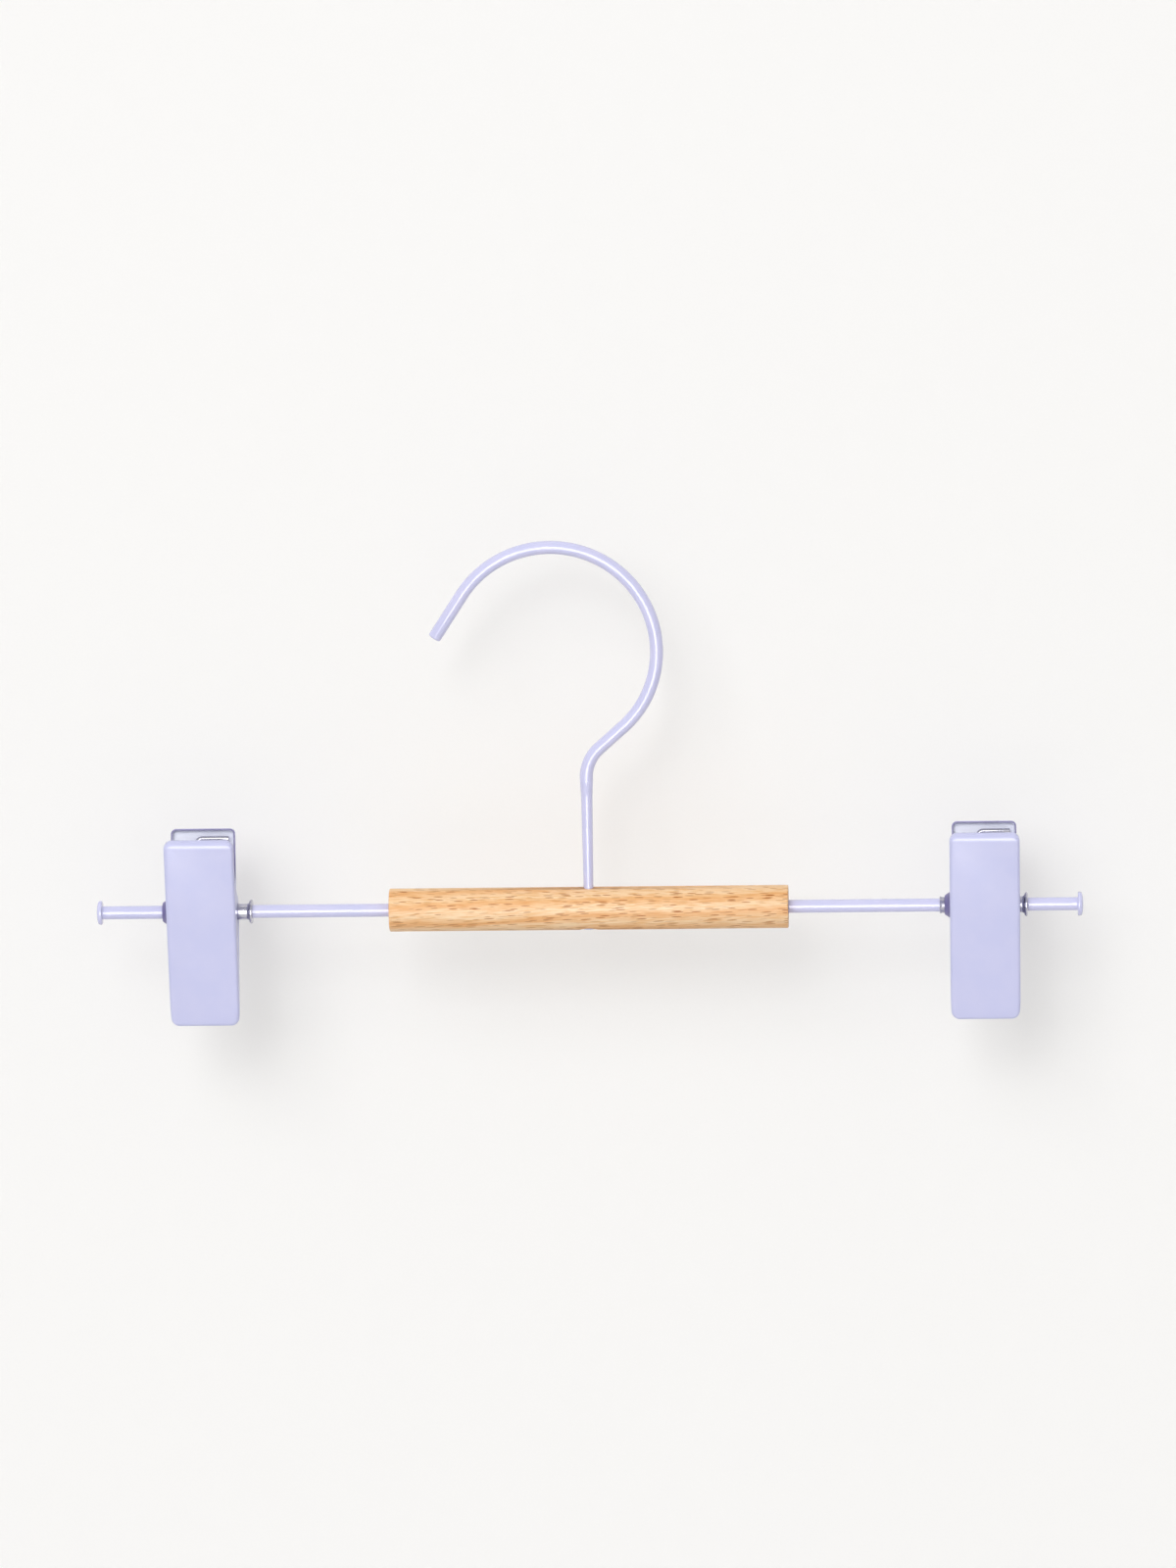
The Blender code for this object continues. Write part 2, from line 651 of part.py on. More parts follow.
def least_gap(points, diameter):
    """Least clear space between stretches of a wire that are not next to each other along it."""
    fine = []
    for start, end in zip(points, points[1:]):
        for step in range(GAP_SAMPLES):
            fine.append(start.lerp(end, step / GAP_SAMPLES))
    samples = np.array(fine)
    steps = np.linalg.norm(np.diff(samples, axis=0), axis=1)
    along = np.concatenate(([0.0], np.cumsum(steps)))
    apart = np.linalg.norm(samples[:, None, :] - samples[None, :, :], axis=2)
    far_along = np.abs(along[:, None] - along[None, :]) > NEIGHBOUR_SPAN * diameter
    return apart[far_along].min() - diameter


def make_spring(name, parts, swing_axis, plated):
    points = spring_path()
    print(name, "least gap to itself:", round(least_gap(points, SPRING_WIRE), 3), "mm")
    spring = wire(name, points, SPRING_WIRE, SPRING_RESOLUTION)
    return place(spring, parts, plated, swing_axis)


# Clips: the whole clip

def make_clip(side, place_on_bar, shift_on_tube, parts, cutters, bar, materials):
    """One clip. Its empties mark the axes that it slides along, swings on and opens about."""
    slide_axis = new_empty(side + "_slide_axis", parts, bar, (place_on_bar, 0, 0))
    make_hinge_tube(side, parts, slide_axis, materials["plated"])

    swing_axis = new_empty(side + "_swing_axis", parts, slide_axis, (shift_on_tube, 0, 0))
    back = make_plate(side + "_back_plate", BACK_WIDTH, BACK_HANDLE_CORNER, BACK_HANDLE_BEND, parts,
                      cutters, swing_axis, materials["coating"], math.pi)
    make_pad(side + "_back_pad", BACK_WIDTH, parts, back, materials["soft"])
    make_spring(side + "_spring", parts, swing_axis, materials["plated"])

    opening_axis = new_empty(side + "_opening_axis", parts, swing_axis)
    front = make_plate(side + "_front_plate", FRONT_WIDTH, HANDLE_CORNER, HANDLE_BEND, parts,
                       cutters, opening_axis, materials["coating"], 0.0, with_boss=True)
    make_pad(side + "_front_pad", FRONT_WIDTH, parts, front, materials["soft"])


def print_motion(places):
    """Travel of the clips, which their joints take from the same sizes, in the frame's coordinates."""
    head_face = BAR_LENGTH / 2 - ROD_HEAD_THICKNESS
    grip_end = GRIP_LENGTH / 2
    for side, middle, shift in places:
        left_end = min(middle - TUBE_LENGTH / 2, middle + shift - FRONT_WIDTH / 2 - BOSS_HEIGHT)
        right_end = middle + TUBE_LENGTH / 2
        left_stop, right_stop = (-head_face, -grip_end) if side == "left" else (grip_end, head_face)
        travel = (left_stop - left_end + FIT_GAP, right_stop - right_end - FIT_GAP)
        print(side, "clip: tube at", round(BAR_CENTRE.x + middle, 3), "plates at",
              round(BAR_CENTRE.x + middle + shift, 3), "travel", [round(t, 3) for t in travel])
    print("plates tilt", round(math.degrees(PLATE_TILT), 2), "degrees; bar centre", BAR_CENTRE[:])


def build():
    clear_scene()
    parts = new_collection("clip_hanger")
    cutters = new_collection("cutters")
    materials = {
        "wood": new_material("turned_beech", WOOD_COLOUR, 0.55, 0.0),
        "coating": new_material("white_coating", COATING_COLOUR, 0.4, 0.0),
        "plated": new_material("nickel_plate", PLATED_COLOUR, 0.2, 1.0),
        "soft": new_material("soft_pad", PAD_COLOUR, 0.6, 0.0),
    }
    bar = new_empty("bar_centre", parts, location=BAR_CENTRE)
    make_grip(parts, cutters, bar, materials["wood"])
    make_rod("left", -1, parts, bar, materials["coating"])
    make_rod("right", 1, parts, bar, materials["coating"])
    make_hook(parts, bar, materials["coating"])
    make_hook_washer(parts, bar, materials["plated"])
    places = [
        ("left", -BAR_LENGTH / 2 + LEFT_CLIP_INSET, LEFT_CLIP_SHIFT),
        ("right", BAR_LENGTH / 2 - RIGHT_CLIP_INSET, RIGHT_CLIP_SHIFT),
    ]
    for side, middle, shift in places:
        make_clip(side, middle, shift, parts, cutters, bar, materials)
    bpy.context.view_layer.update()
    print_motion(places)


build()
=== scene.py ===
# %% [markdown]
# # A clip hanger, dressed for its picture
# The hanger hangs by a turning wire hook. A turned beech grip holds two coated rods, and on each rod
# a sprung clip of pressed sheet slides and swings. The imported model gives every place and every
# joint, so this script loads it first and never moves it. It then lays a finer skin over each part.

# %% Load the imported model
import math

import bmesh
import bpy
from mathutils import Euler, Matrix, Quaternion, Vector


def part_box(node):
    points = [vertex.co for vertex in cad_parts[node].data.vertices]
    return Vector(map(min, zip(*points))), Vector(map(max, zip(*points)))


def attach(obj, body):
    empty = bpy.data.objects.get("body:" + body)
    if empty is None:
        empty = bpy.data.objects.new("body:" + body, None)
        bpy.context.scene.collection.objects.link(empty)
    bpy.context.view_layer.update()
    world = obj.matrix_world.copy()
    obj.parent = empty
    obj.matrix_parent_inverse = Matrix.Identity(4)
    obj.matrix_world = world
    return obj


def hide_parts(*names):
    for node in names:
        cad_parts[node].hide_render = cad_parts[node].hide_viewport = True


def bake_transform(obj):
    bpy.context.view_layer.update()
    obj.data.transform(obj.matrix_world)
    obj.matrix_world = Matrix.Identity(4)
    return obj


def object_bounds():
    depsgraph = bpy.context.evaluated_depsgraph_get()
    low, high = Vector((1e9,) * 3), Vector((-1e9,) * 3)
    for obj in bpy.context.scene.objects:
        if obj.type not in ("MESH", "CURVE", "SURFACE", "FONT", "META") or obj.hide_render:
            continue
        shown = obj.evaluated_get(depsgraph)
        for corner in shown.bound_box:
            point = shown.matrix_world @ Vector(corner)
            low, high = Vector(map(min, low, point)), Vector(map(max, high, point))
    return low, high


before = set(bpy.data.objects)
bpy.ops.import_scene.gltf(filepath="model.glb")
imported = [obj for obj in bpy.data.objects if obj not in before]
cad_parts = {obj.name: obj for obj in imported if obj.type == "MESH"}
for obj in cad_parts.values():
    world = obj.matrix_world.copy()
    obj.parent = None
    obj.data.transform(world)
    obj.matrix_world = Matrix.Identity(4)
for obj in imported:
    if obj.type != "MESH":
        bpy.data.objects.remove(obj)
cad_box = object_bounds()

MM = 0.001
scene = bpy.context.scene
scene.view_settings.view_transform = 'Standard'

# %% [markdown]
# ## Helpers for materials
# A shader is a small graph. One function adds any node, sets it up and links it, so each material
# below reads from top to bottom like a recipe. Colours are written as the hex values that a colour
# picker shows, and one function turns them to the linear light that Cycles works in.

# %% Colour and node helpers
def linear(hex_colour):
    """Linear RGBA of an sRGB colour such as "#CDCFEF"."""
    channels = [int(hex_colour[i:i + 2], 16) / 255 for i in (1, 3, 5)]
    light = [c / 12.92 if c <= 0.04045 else ((c + 0.055) / 1.055) ** 2.4 for c in channels]
    return (*light, 1.0)


def add_node(tree, kind, inputs=None, stops=None, **settings):
    """Add a node. Inputs are values, or sockets to link from, stops are the places and colours of a
    ramp, and settings are the node's own properties."""
    made = tree.nodes.new(kind)
    for name, value in settings.items():
        setattr(made, name, value)
    for key, value in (inputs or {}).items():
        if isinstance(value, bpy.types.NodeSocket):
            tree.links.new(value, made.inputs[key])
        else:
            made.inputs[key].default_value = value
    if stops:
        ramp = made.color_ramp.elements
        for index, (position, colour) in enumerate(stops):
            stop = ramp[index] if index < 2 else ramp.new(position)
            stop.position = position
            stop.color = colour
    return made


def new_material(name, **shader_inputs):
    """A material whose Principled shader has these values, with its tree and coordinates in mm."""
    made = bpy.data.materials.new(name)
    made.use_nodes = True
    tree = made.node_tree
    shader = tree.nodes["Principled BSDF"]
    for key, value in shader_inputs.items():
        shader.inputs[key.replace("_", " ")].default_value = value
    place = add_node(tree, 'ShaderNodeTexCoord')
    in_mm = add_node(tree, 'ShaderNodeMapping', {0: place.outputs['Object'], 'Scale': (1 / MM,) * 3})
    return made, tree, shader, in_mm.outputs[0]


print("middle grey #808080 is", round(linear("#808080")[0], 3), "in linear light")

# %% [markdown]
# ## Coating: polyester powder on steel
# The wire and the pressed sheet are sprayed with a pale lilac powder that melts to a glossy skin
# about 0.08 mm thick. A melted skin is never quite flat: it has a shallow orange peel a millimetre
# or so across, which softens the light without blurring it. A faint unevenness of tone keeps large
# faces from looking like plain paint. The wire is the glossier of the two: its peel is stretched out
# thin, so a light by the camera draws one sharp line along it. The flat sheet is more satin.
#
# Where the sheet was cut, and on the front plate's boss, the coat is painted a dark violet: painted
# shade, standing in for the dark line and dark cone that shade draws at these edges.
# The plates' inner skin is painted a paler lilac: painted light, standing in for the light that falls
# inside the back plates' handles.

# %% Powder coat
ORANGE_PEEL = 1.3        # mm across one swelling
PEEL_DEPTH = 0.006       # mm
TONE_PATCH = 9.0         # mm across one faint patch of tone
POLYESTER_IOR = 1.55
WIRE_ROUGHNESS = 0.08
SHEET_ROUGHNESS = 0.3
EDGE_ROUGHNESS = 0.35


def powder_coat(name, colour, deeper, roughness):
    """Glossy powder coat with a faint drift of tone between two close colours."""
    made, tree, shader, mm = new_material(name, Roughness=roughness, IOR=POLYESTER_IOR)
    drift = add_node(tree, 'ShaderNodeTexNoise', {'Vector': mm, 'Scale': 1 / TONE_PATCH, 'Detail': 3.0})
    tone = add_node(tree, 'ShaderNodeValToRGB', {0: drift.outputs[0]},
                    [(0.35, linear(deeper)), (0.65, linear(colour))])
    tree.links.new(tone.outputs[0], shader.inputs['Base Color'])
    peel = add_node(tree, 'ShaderNodeTexNoise', {'Vector': mm, 'Scale': 1 / ORANGE_PEEL, 'Detail': 1.0})
    bump = add_node(tree, 'ShaderNodeBump', {'Height': peel.outputs[0], 'Distance': PEEL_DEPTH * MM})
    tree.links.new(bump.outputs[0], shader.inputs['Normal'])
    return made


wire_coat = powder_coat("powder_coat_on_wire", "#D4D3F2", "#CFD0F1", WIRE_ROUGHNESS)
sheet_coat = powder_coat("powder_coat_on_pressed_sheet", "#CCCDEE", "#C8CAED", SHEET_ROUGHNESS)
# painted shade: a dark violet for the cut rims and the boss, standing in for the shade at those edges
painted_shade_edge_coat = powder_coat("powder_coat_painted_shade_on_edges", "#7F79AC", "#6F6999", EDGE_ROUGHNESS)
# painted light: a pale lilac for the inner skin, standing in for light falling inside the handles
painted_light_inner_coat = powder_coat("powder_coat_painted_light_inside", "#EEF0FC", "#E9EBFA", SHEET_ROUGHNESS)
print("coats:", wire_coat.name, sheet_coat.name, painted_shade_edge_coat.name, painted_light_inner_coat.name)

# %% [markdown]
# ## Wood: turned beech
# Beech is pale and warm, with rings a few millimetres apart and short orange-brown flecks, the cut
# ends of its rays, four millimetres long and a third of one thick. All of it is drawn as a solid
# block of wood that the grip is cut from: the rings are tubes round a pith outside the grip, a
# little tilted so that they run out along it, and the flecks are cells stretched along the grain.
# The ends then show end grain by themselves.

# %% Turned beech
PITH = (0.0, 9.0, 21.0)  # mm, from the grip's axis to the heart of the tree
RING_WIDTH = 4.6         # mm
RING_WAVER = 3.0         # mm
WAVER_SCALE = (0.018, 0.11, 0.11)  # per mm, along and across the grain
GRAIN_RUNOUT = (0.0, 0.035, 0.05)  # radians between the grain and the grip
FLECK_CELL = (5.6, 0.44, 0.44)  # mm that one fleck has to itself, along and across
FLECK_SIZE = 0.38        # share of its cell
FLECK_HEART = 0.7        # share of the fleck that is at its darkest
FLECK_CHANCE = (0.15, 0.8)  # a cell's luck: below the first there is no fleck, above the second a full one
FIBRE = (11.0, 0.3, 0.3)  # mm; real ones are finer and would not show
PORE_DEPTH = 0.02        # mm
END_FACING = 0.8         # how far a face has to turn along the grain before it counts as end grain
END_DARKENING = 0.35


def make_beech():
    made, tree, shader, mm = new_material("turned_beech", Roughness=0.52, IOR=1.5)
    grain = add_node(tree, 'ShaderNodeMapping', {0: mm, 'Location': PITH, 'Rotation': GRAIN_RUNOUT})

    # Rings: distance from the pith, wavering slowly along and across the grain
    slow = add_node(tree, 'ShaderNodeMapping', {0: grain.outputs[0], 'Scale': WAVER_SCALE})
    waver = add_node(tree, 'ShaderNodeTexNoise', {'Vector': slow.outputs[0], 'Scale': 1.0, 'Detail': 2.0})
    across = add_node(tree, 'ShaderNodeVectorMath', {0: grain.outputs[0], 1: (0.0, 1.0, 1.0)},
                      operation='MULTIPLY')
    radius = add_node(tree, 'ShaderNodeVectorMath', {0: across.outputs[0]}, operation='LENGTH')
    wavering = add_node(tree, 'ShaderNodeMath',
                        {0: waver.outputs[0], 1: 2 * RING_WAVER, 2: radius.outputs['Value']},
                        operation='MULTIPLY_ADD')
    count = add_node(tree, 'ShaderNodeMath', {0: wavering.outputs[0], 1: RING_WIDTH}, operation='DIVIDE')
    ring = add_node(tree, 'ShaderNodeMath', {0: count.outputs[0]}, operation='FRACT')
    wood = add_node(tree, 'ShaderNodeValToRGB', {0: ring.outputs[0]},
                    [(0.0, linear("#F1BE84")), (1.0, linear("#F0BA7F")), (0.1, linear("#F4C691")),
                     (0.34, linear("#FBDBB2")), (0.6, linear("#FAD6AB")), (0.85, linear("#F3C28C"))])

    # Fibres: fine streaks along the grain
    thin = add_node(tree, 'ShaderNodeMapping', {0: grain.outputs[0], 'Scale': [1 / size for size in FIBRE]})
    fibre = add_node(tree, 'ShaderNodeTexNoise', {'Vector': thin.outputs[0], 'Scale': 1.0, 'Detail': 3.0})
    streak = add_node(tree, 'ShaderNodeValToRGB', {0: fibre.outputs[0]},
                      [(0.34, linear("#F0D8B6")), (0.6, linear("#FFFFFF"))])
    streaked = add_node(tree, 'ShaderNodeMix', {0: 1.0, 6: wood.outputs[0], 7: streak.outputs[0]},
                        data_type='RGBA', blend_type='MULTIPLY')

    # Flecks: one thin lens in each stretched cell, some dark, some faint and one in seven not there
    cell = add_node(tree, 'ShaderNodeMapping',
                    {0: grain.outputs[0], 'Scale': [1 / size for size in FLECK_CELL]})
    ray = add_node(tree, 'ShaderNodeTexVoronoi', {'Vector': cell.outputs[0], 'Scale': 1.0})
    lens = add_node(tree, 'ShaderNodeMapRange',
                    {0: ray.outputs['Distance'], 1: FLECK_SIZE, 2: FLECK_SIZE * FLECK_HEART},
                    interpolation_type='SMOOTHSTEP')
    chance = add_node(tree, 'ShaderNodeSeparateColor', {0: ray.outputs['Color']})
    share = add_node(tree, 'ShaderNodeMapRange',
                     {0: chance.outputs[0], 1: FLECK_CHANCE[0], 2: FLECK_CHANCE[1]})
    fleck = add_node(tree, 'ShaderNodeMath', {0: lens.outputs[0], 1: share.outputs[0]},
                     operation='MULTIPLY')
    flecked = add_node(tree, 'ShaderNodeMix',
                       {0: fleck.outputs[0], 6: streaked.outputs[2], 7: linear("#AF661C")},
                       data_type='RGBA')

    # End grain drinks more light, so the two ends are darker
    facing = add_node(tree, 'ShaderNodeTexCoord')
    axes = add_node(tree, 'ShaderNodeSeparateXYZ', {0: facing.outputs['Normal']})
    end_on = add_node(tree, 'ShaderNodeMath', {0: axes.outputs[0]}, operation='ABSOLUTE')
    end_dark = add_node(tree, 'ShaderNodeMapRange', {0: end_on.outputs[0], 1: END_FACING, 4: END_DARKENING})
    ended = add_node(tree, 'ShaderNodeMix',
                     {0: end_dark.outputs[0], 6: flecked.outputs[2], 7: linear("#C98B52")},
                     data_type='RGBA')
    tree.links.new(ended.outputs[2], shader.inputs['Base Color'])

    # Sanded surface: flecks and fibres lie a hair lower than the rest
    low = add_node(tree, 'ShaderNodeMath', {0: fibre.outputs[0], 1: fleck.outputs[0]}, operation='SUBTRACT')
    bump = add_node(tree, 'ShaderNodeBump', {'Height': low.outputs[0], 'Distance': PORE_DEPTH * MM})
    tree.links.new(bump.outputs[0], shader.inputs['Normal'])
    return made


beech = make_beech()
print("beech rings:", RING_WIDTH, "mm apart")

# %% [markdown]
# ## Bright metal: nickel plate
# The hinge tubes are eyelets of thin steel and the springs are hard wire, both nickel plated. Plated
# metal mirrors the studio, and what tells it from a bare mirror is its deeper tone, a faint stain and
# the fine marks that drawing and turning leave across it.

# %% Nickel plate
DRAW_MARK = 0.12         # mm between marks; real ones are finer and would not show
MARK_DEPTH = 0.0015      # mm
MARK_SPREAD = 0.4        # the marks' scale per mm the other way, along each mark
STAIN_SCALE = 0.3        # per mm
NICKEL_ROUGHNESS = (0.12, 0.26)  # between marks and in them


def make_nickel():
    made, tree, shader, mm = new_material("drawn_steel_nickel_plated", Metallic=1.0)
    stain = add_node(tree, 'ShaderNodeTexNoise', {'Vector': mm, 'Scale': STAIN_SCALE, 'Detail': 2.0})
    tone = add_node(tree, 'ShaderNodeValToRGB', {0: stain.outputs[0]},
                    [(0.3, linear("#B4B3C0")), (0.7, linear("#C8C7D2"))])
    tree.links.new(tone.outputs[0], shader.inputs['Base Color'])
    marks = add_node(tree, 'ShaderNodeMapping',
                     {0: mm, 'Scale': (1 / DRAW_MARK, MARK_SPREAD, MARK_SPREAD)})
    mark = add_node(tree, 'ShaderNodeTexNoise', {'Vector': marks.outputs[0], 'Scale': 1.0, 'Detail': 2.0})
    rough = add_node(tree, 'ShaderNodeMapRange',
                     {0: mark.outputs[0], 3: NICKEL_ROUGHNESS[0], 4: NICKEL_ROUGHNESS[1]})
    tree.links.new(rough.outputs[0], shader.inputs['Roughness'])
    bump = add_node(tree, 'ShaderNodeBump', {'Height': mark.outputs[0], 'Distance': MARK_DEPTH * MM})
    tree.links.new(bump.outputs[0], shader.inputs['Normal'])
    return made


nickel = make_nickel()
print("nickel marks:", DRAW_MARK, "mm apart")

# %% [markdown]
# ## Pads: moulded soft PVC
# The jaws are lined with a soft off-white plastic so that they grip cloth without marking it. The
# mould is spark-eroded, which leaves an even matt grain, and light goes a little way in.

# %% Soft PVC
SPARK_GRAIN = 0.25       # mm
SPARK_DEPTH = 0.01       # mm
LIGHT_DEPTH = 1.0        # mm that light goes in
LIGHT_SHARE = 0.15       # share of it that does


def make_soft_pvc():
    made, tree, shader, mm = new_material("moulded_soft_pvc", Roughness=0.55, IOR=1.53,
                                          Subsurface_Weight=LIGHT_SHARE, Subsurface_Scale=LIGHT_DEPTH * MM)
    grain = add_node(tree, 'ShaderNodeTexNoise', {'Vector': mm, 'Scale': 1 / SPARK_GRAIN, 'Detail': 2.0})
    tone = add_node(tree, 'ShaderNodeValToRGB', {0: grain.outputs[0]},
                    [(0.3, linear("#E9E7E1")), (0.7, linear("#F2F0EB"))])
    tree.links.new(tone.outputs[0], shader.inputs['Base Color'])
    bump = add_node(tree, 'ShaderNodeBump', {'Height': grain.outputs[0], 'Distance': SPARK_DEPTH * MM})
    tree.links.new(bump.outputs[0], shader.inputs['Normal'])
    return made


soft_pvc = make_soft_pvc()
print("pads:", soft_pvc.name)

# %% [markdown]
# ## Helpers for shapes
# Every piece is drawn in millimetres about its own axis and then put where the imported model has it.
# `show` does that last step for all of them: it links the piece, gives it its materials, hangs it
# on the body that carries it and hides the imported node that it stands for.
#
# Holes and bosses are made by letting a second shape cut a piece or join it. A modifier would go on
# looking for that second shape where it was left, so a piece that slides away would lose its holes.
# `carry_out` therefore turns the modifiers into plain mesh before the piece is shown.

# %% Shape helpers
WELD = 0.0005            # mm; points closer than this are one
SLIVER = 0.005           # mm; anything thinner is a leftover of a cut
ALONG_Z = (0, math.pi / 2, 0)  # turns a shape that runs along X upright


def show(piece, materials, body, node, location=(0, 0, 0), rotation=(0, 0, 0)):
    """Put a piece in the scene: location is in metres in the model's frame."""
    scene.collection.objects.link(piece)
    for material in materials:
        piece.data.materials.append(material)
    piece.data.transform(Euler(rotation).to_matrix().to_4x4())
    piece.location = location
    if body:
        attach(piece, body)
    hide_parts(node)
    return piece


def mesh_object(name, bm, sharp_angle=35.0):
    mesh = bpy.data.meshes.new(name)
    bm.to_mesh(mesh)
    bm.free()
    mesh.shade_smooth()
    mesh.set_sharp_from_angle(angle=math.radians(sharp_angle))
    return bpy.data.objects.new(name, mesh)


def turned(name, profile, sides=64, closed=False):
    """Turn a profile of (along, radius) points about local X. A closed profile leaves a bore."""
    bm = bmesh.new()
    points = [bm.verts.new((along * MM, 0.0, radius * MM)) for along, radius in profile]
    for first, second in zip(points, points[1:]):
        bm.edges.new((first, second))
    if closed:
        bm.edges.new((points[-1], points[0]))
    bmesh.ops.spin(bm, geom=bm.verts[:] + bm.edges[:], cent=(0, 0, 0), axis=(1, 0, 0),
                   angle=math.tau, steps=sides, use_merge=True)
    bmesh.ops.remove_doubles(bm, verts=bm.verts[:], dist=WELD * MM)
    bmesh.ops.recalc_face_normals(bm, faces=bm.faces[:])
    return mesh_object(name, bm)


def peg(name, reach, radius, sides=64):
    """A plain cylinder about local X that reaches this far both ways, to cut a hole with."""
    return turned(name, [(-reach, 0), (-reach, radius), (reach, radius), (reach, 0)], sides)


def arc(centre, radius, start, end, step=10.0):
    """Points on an arc from start to end in degrees, both included."""
    count = max(1, math.ceil(abs(end - start) / step))
    angles = [math.radians(start + (end - start) * i / count) for i in range(count + 1)]
    return [(centre[0] + radius * math.cos(a), centre[1] + radius * math.sin(a)) for a in angles]


def wire(name, points, diameters, resolution=10):
    """A closed mesh of round wire along points, all in mm, from a bevelled curve."""
    curve = bpy.data.curves.new(name, 'CURVE')
    curve.dimensions = '3D'
    curve.bevel_depth = 0.5 * MM
    curve.bevel_resolution = resolution
    curve.use_fill_caps = True
    spline = curve.splines.new('POLY')
    spline.points.add(len(points) - 1)
    for index, point in enumerate(points):
        spline.points[index].co = (*(Vector(point) * MM), 1.0)
        spline.points[index].radius = diameters[index]
    maker = bpy.data.objects.new(name + "_line", curve)
    scene.collection.objects.link(maker)
    bpy.context.view_layer.update()
    solid = bpy.data.meshes.new_from_object(maker.evaluated_get(bpy.context.evaluated_depsgraph_get()))
    bpy.data.objects.remove(maker)
    bm = bmesh.new()
    bm.from_mesh(solid)
    bpy.data.meshes.remove(solid)
    bmesh.ops.remove_doubles(bm, verts=bm.verts[:], dist=WELD * MM)
    bmesh.ops.recalc_face_normals(bm, faces=bm.faces[:])
    return mesh_object(name, bm)


def combine(target, tool, operation, location=(0, 0, 0), rotation=(0, 0, 0)):
    """Let another shape cut this one or join it. Both lie about the piece's own origin."""
    scene.collection.objects.link(tool)
    tool.data.transform(Euler(rotation).to_matrix().to_4x4())
    tool.location = location
    step = target.modifiers.new(tool.name, 'BOOLEAN')
    step.operation = operation
    step.solver = 'EXACT'
    step.object = tool


def carry_out(piece):
    """Turn the modifiers of a piece that isn't shown yet into plain mesh, and clear its slivers."""
    scene.collection.objects.link(piece)
    bpy.context.view_layer.update()
    made = bpy.data.meshes.new_from_object(piece.evaluated_get(bpy.context.evaluated_depsgraph_get()))
    bm = bmesh.new()
    bm.from_mesh(made)
    bmesh.ops.remove_doubles(bm, verts=bm.verts[:], dist=SLIVER * MM)
    bmesh.ops.dissolve_degenerate(bm, edges=bm.edges[:], dist=SLIVER * MM)
    print(piece.name, "has", sum(not edge.is_manifold for edge in bm.edges), "open edges")
    bm.to_mesh(made)
    bm.free()
    tools = [step.object for step in piece.modifiers if step.type == 'BOOLEAN']
    piece.modifiers.clear()
    piece.data = made
    for tool in tools:
        bpy.data.objects.remove(tool)
    scene.collection.objects.unlink(piece)
    return piece


print("upright turn in degrees:", [math.degrees(a) for a in ALONG_Z])

# %% [markdown]
# ## Grip
# The grip is a plain turned dowel with its edges just broken. The rods are pressed into its ends and
# the hook's shank passes through its middle, down to a washer in a counterbore underneath. The
# holes are real ones, cut a hair wider than what they hold, so that a thin dark line shows where
# wood meets wire.

# %% Turn and bore the grip
grip_low, grip_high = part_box("grip")
bar_centre = (grip_low + grip_high) / 2
grip_length = (grip_high.x - grip_low.x) / MM
grip_radius = (grip_high.z - grip_low.z) / 2 / MM
EDGE_ROUNDING = 0.35
ROD = 4.0
TANG = 3.0
PRESS_LINE = 0.12        # dark line round what is pressed in
ROD_SEAT = 20.0
SEAT_DEPTH = 2.55
SEAT_DIAMETER = 7.0
BORE_SPARE = 1.0         # how much deeper a bore is than the rod in it
GRIP_SIDES = 128
BORE_SIDES = 48


def make_grip():
    half = grip_length / 2
    inner = grip_radius - EDGE_ROUNDING
    right_edge = arc((half - EDGE_ROUNDING, inner), EDGE_ROUNDING, 0, 90, 30)
    left_edge = arc((-half + EDGE_ROUNDING, inner), EDGE_ROUNDING, 90, 180, 30)
    grip = turned("beech_grip", [(half, 0.0)] + right_edge + left_edge + [(-half, 0.0)], GRIP_SIDES)
    for side, sign in (("left", -1), ("right", 1)):
        bore = peg(side + "_bore", ROD_SEAT + BORE_SPARE, ROD / 2 + PRESS_LINE, BORE_SIDES)
        combine(grip, bore, 'DIFFERENCE', (sign * half * MM, 0, 0))
    shank = peg("shank_bore", 2 * grip_radius, TANG / 2 + PRESS_LINE, BORE_SIDES)
    combine(grip, shank, 'DIFFERENCE', (0, 0, 0), ALONG_Z)
    seat = peg("washer_seat", SEAT_DEPTH, SEAT_DIAMETER / 2)
    combine(grip, seat, 'DIFFERENCE', (0, 0, -grip_radius * MM), ALONG_Z)
    return carry_out(grip)


show(make_grip(), [beech], "bar", "grip", bar_centre)
print("grip:", round(grip_length, 1), "by", round(2 * grip_radius, 1), "mm")

# %% [markdown]
# ## Rods
# Each rod is a length of wire with a head pressed up at its outer end, so that the clip can't slide
# off. The head is a low dome with a soft edge, and the coating rounds the corner where it meets the
# wire.

# %% Turn the rods
HEAD_THICKNESS = 1.7
HEAD_DOME = 0.8
HEAD_EDGE = 0.3
HEAD_ROOT = 0.25


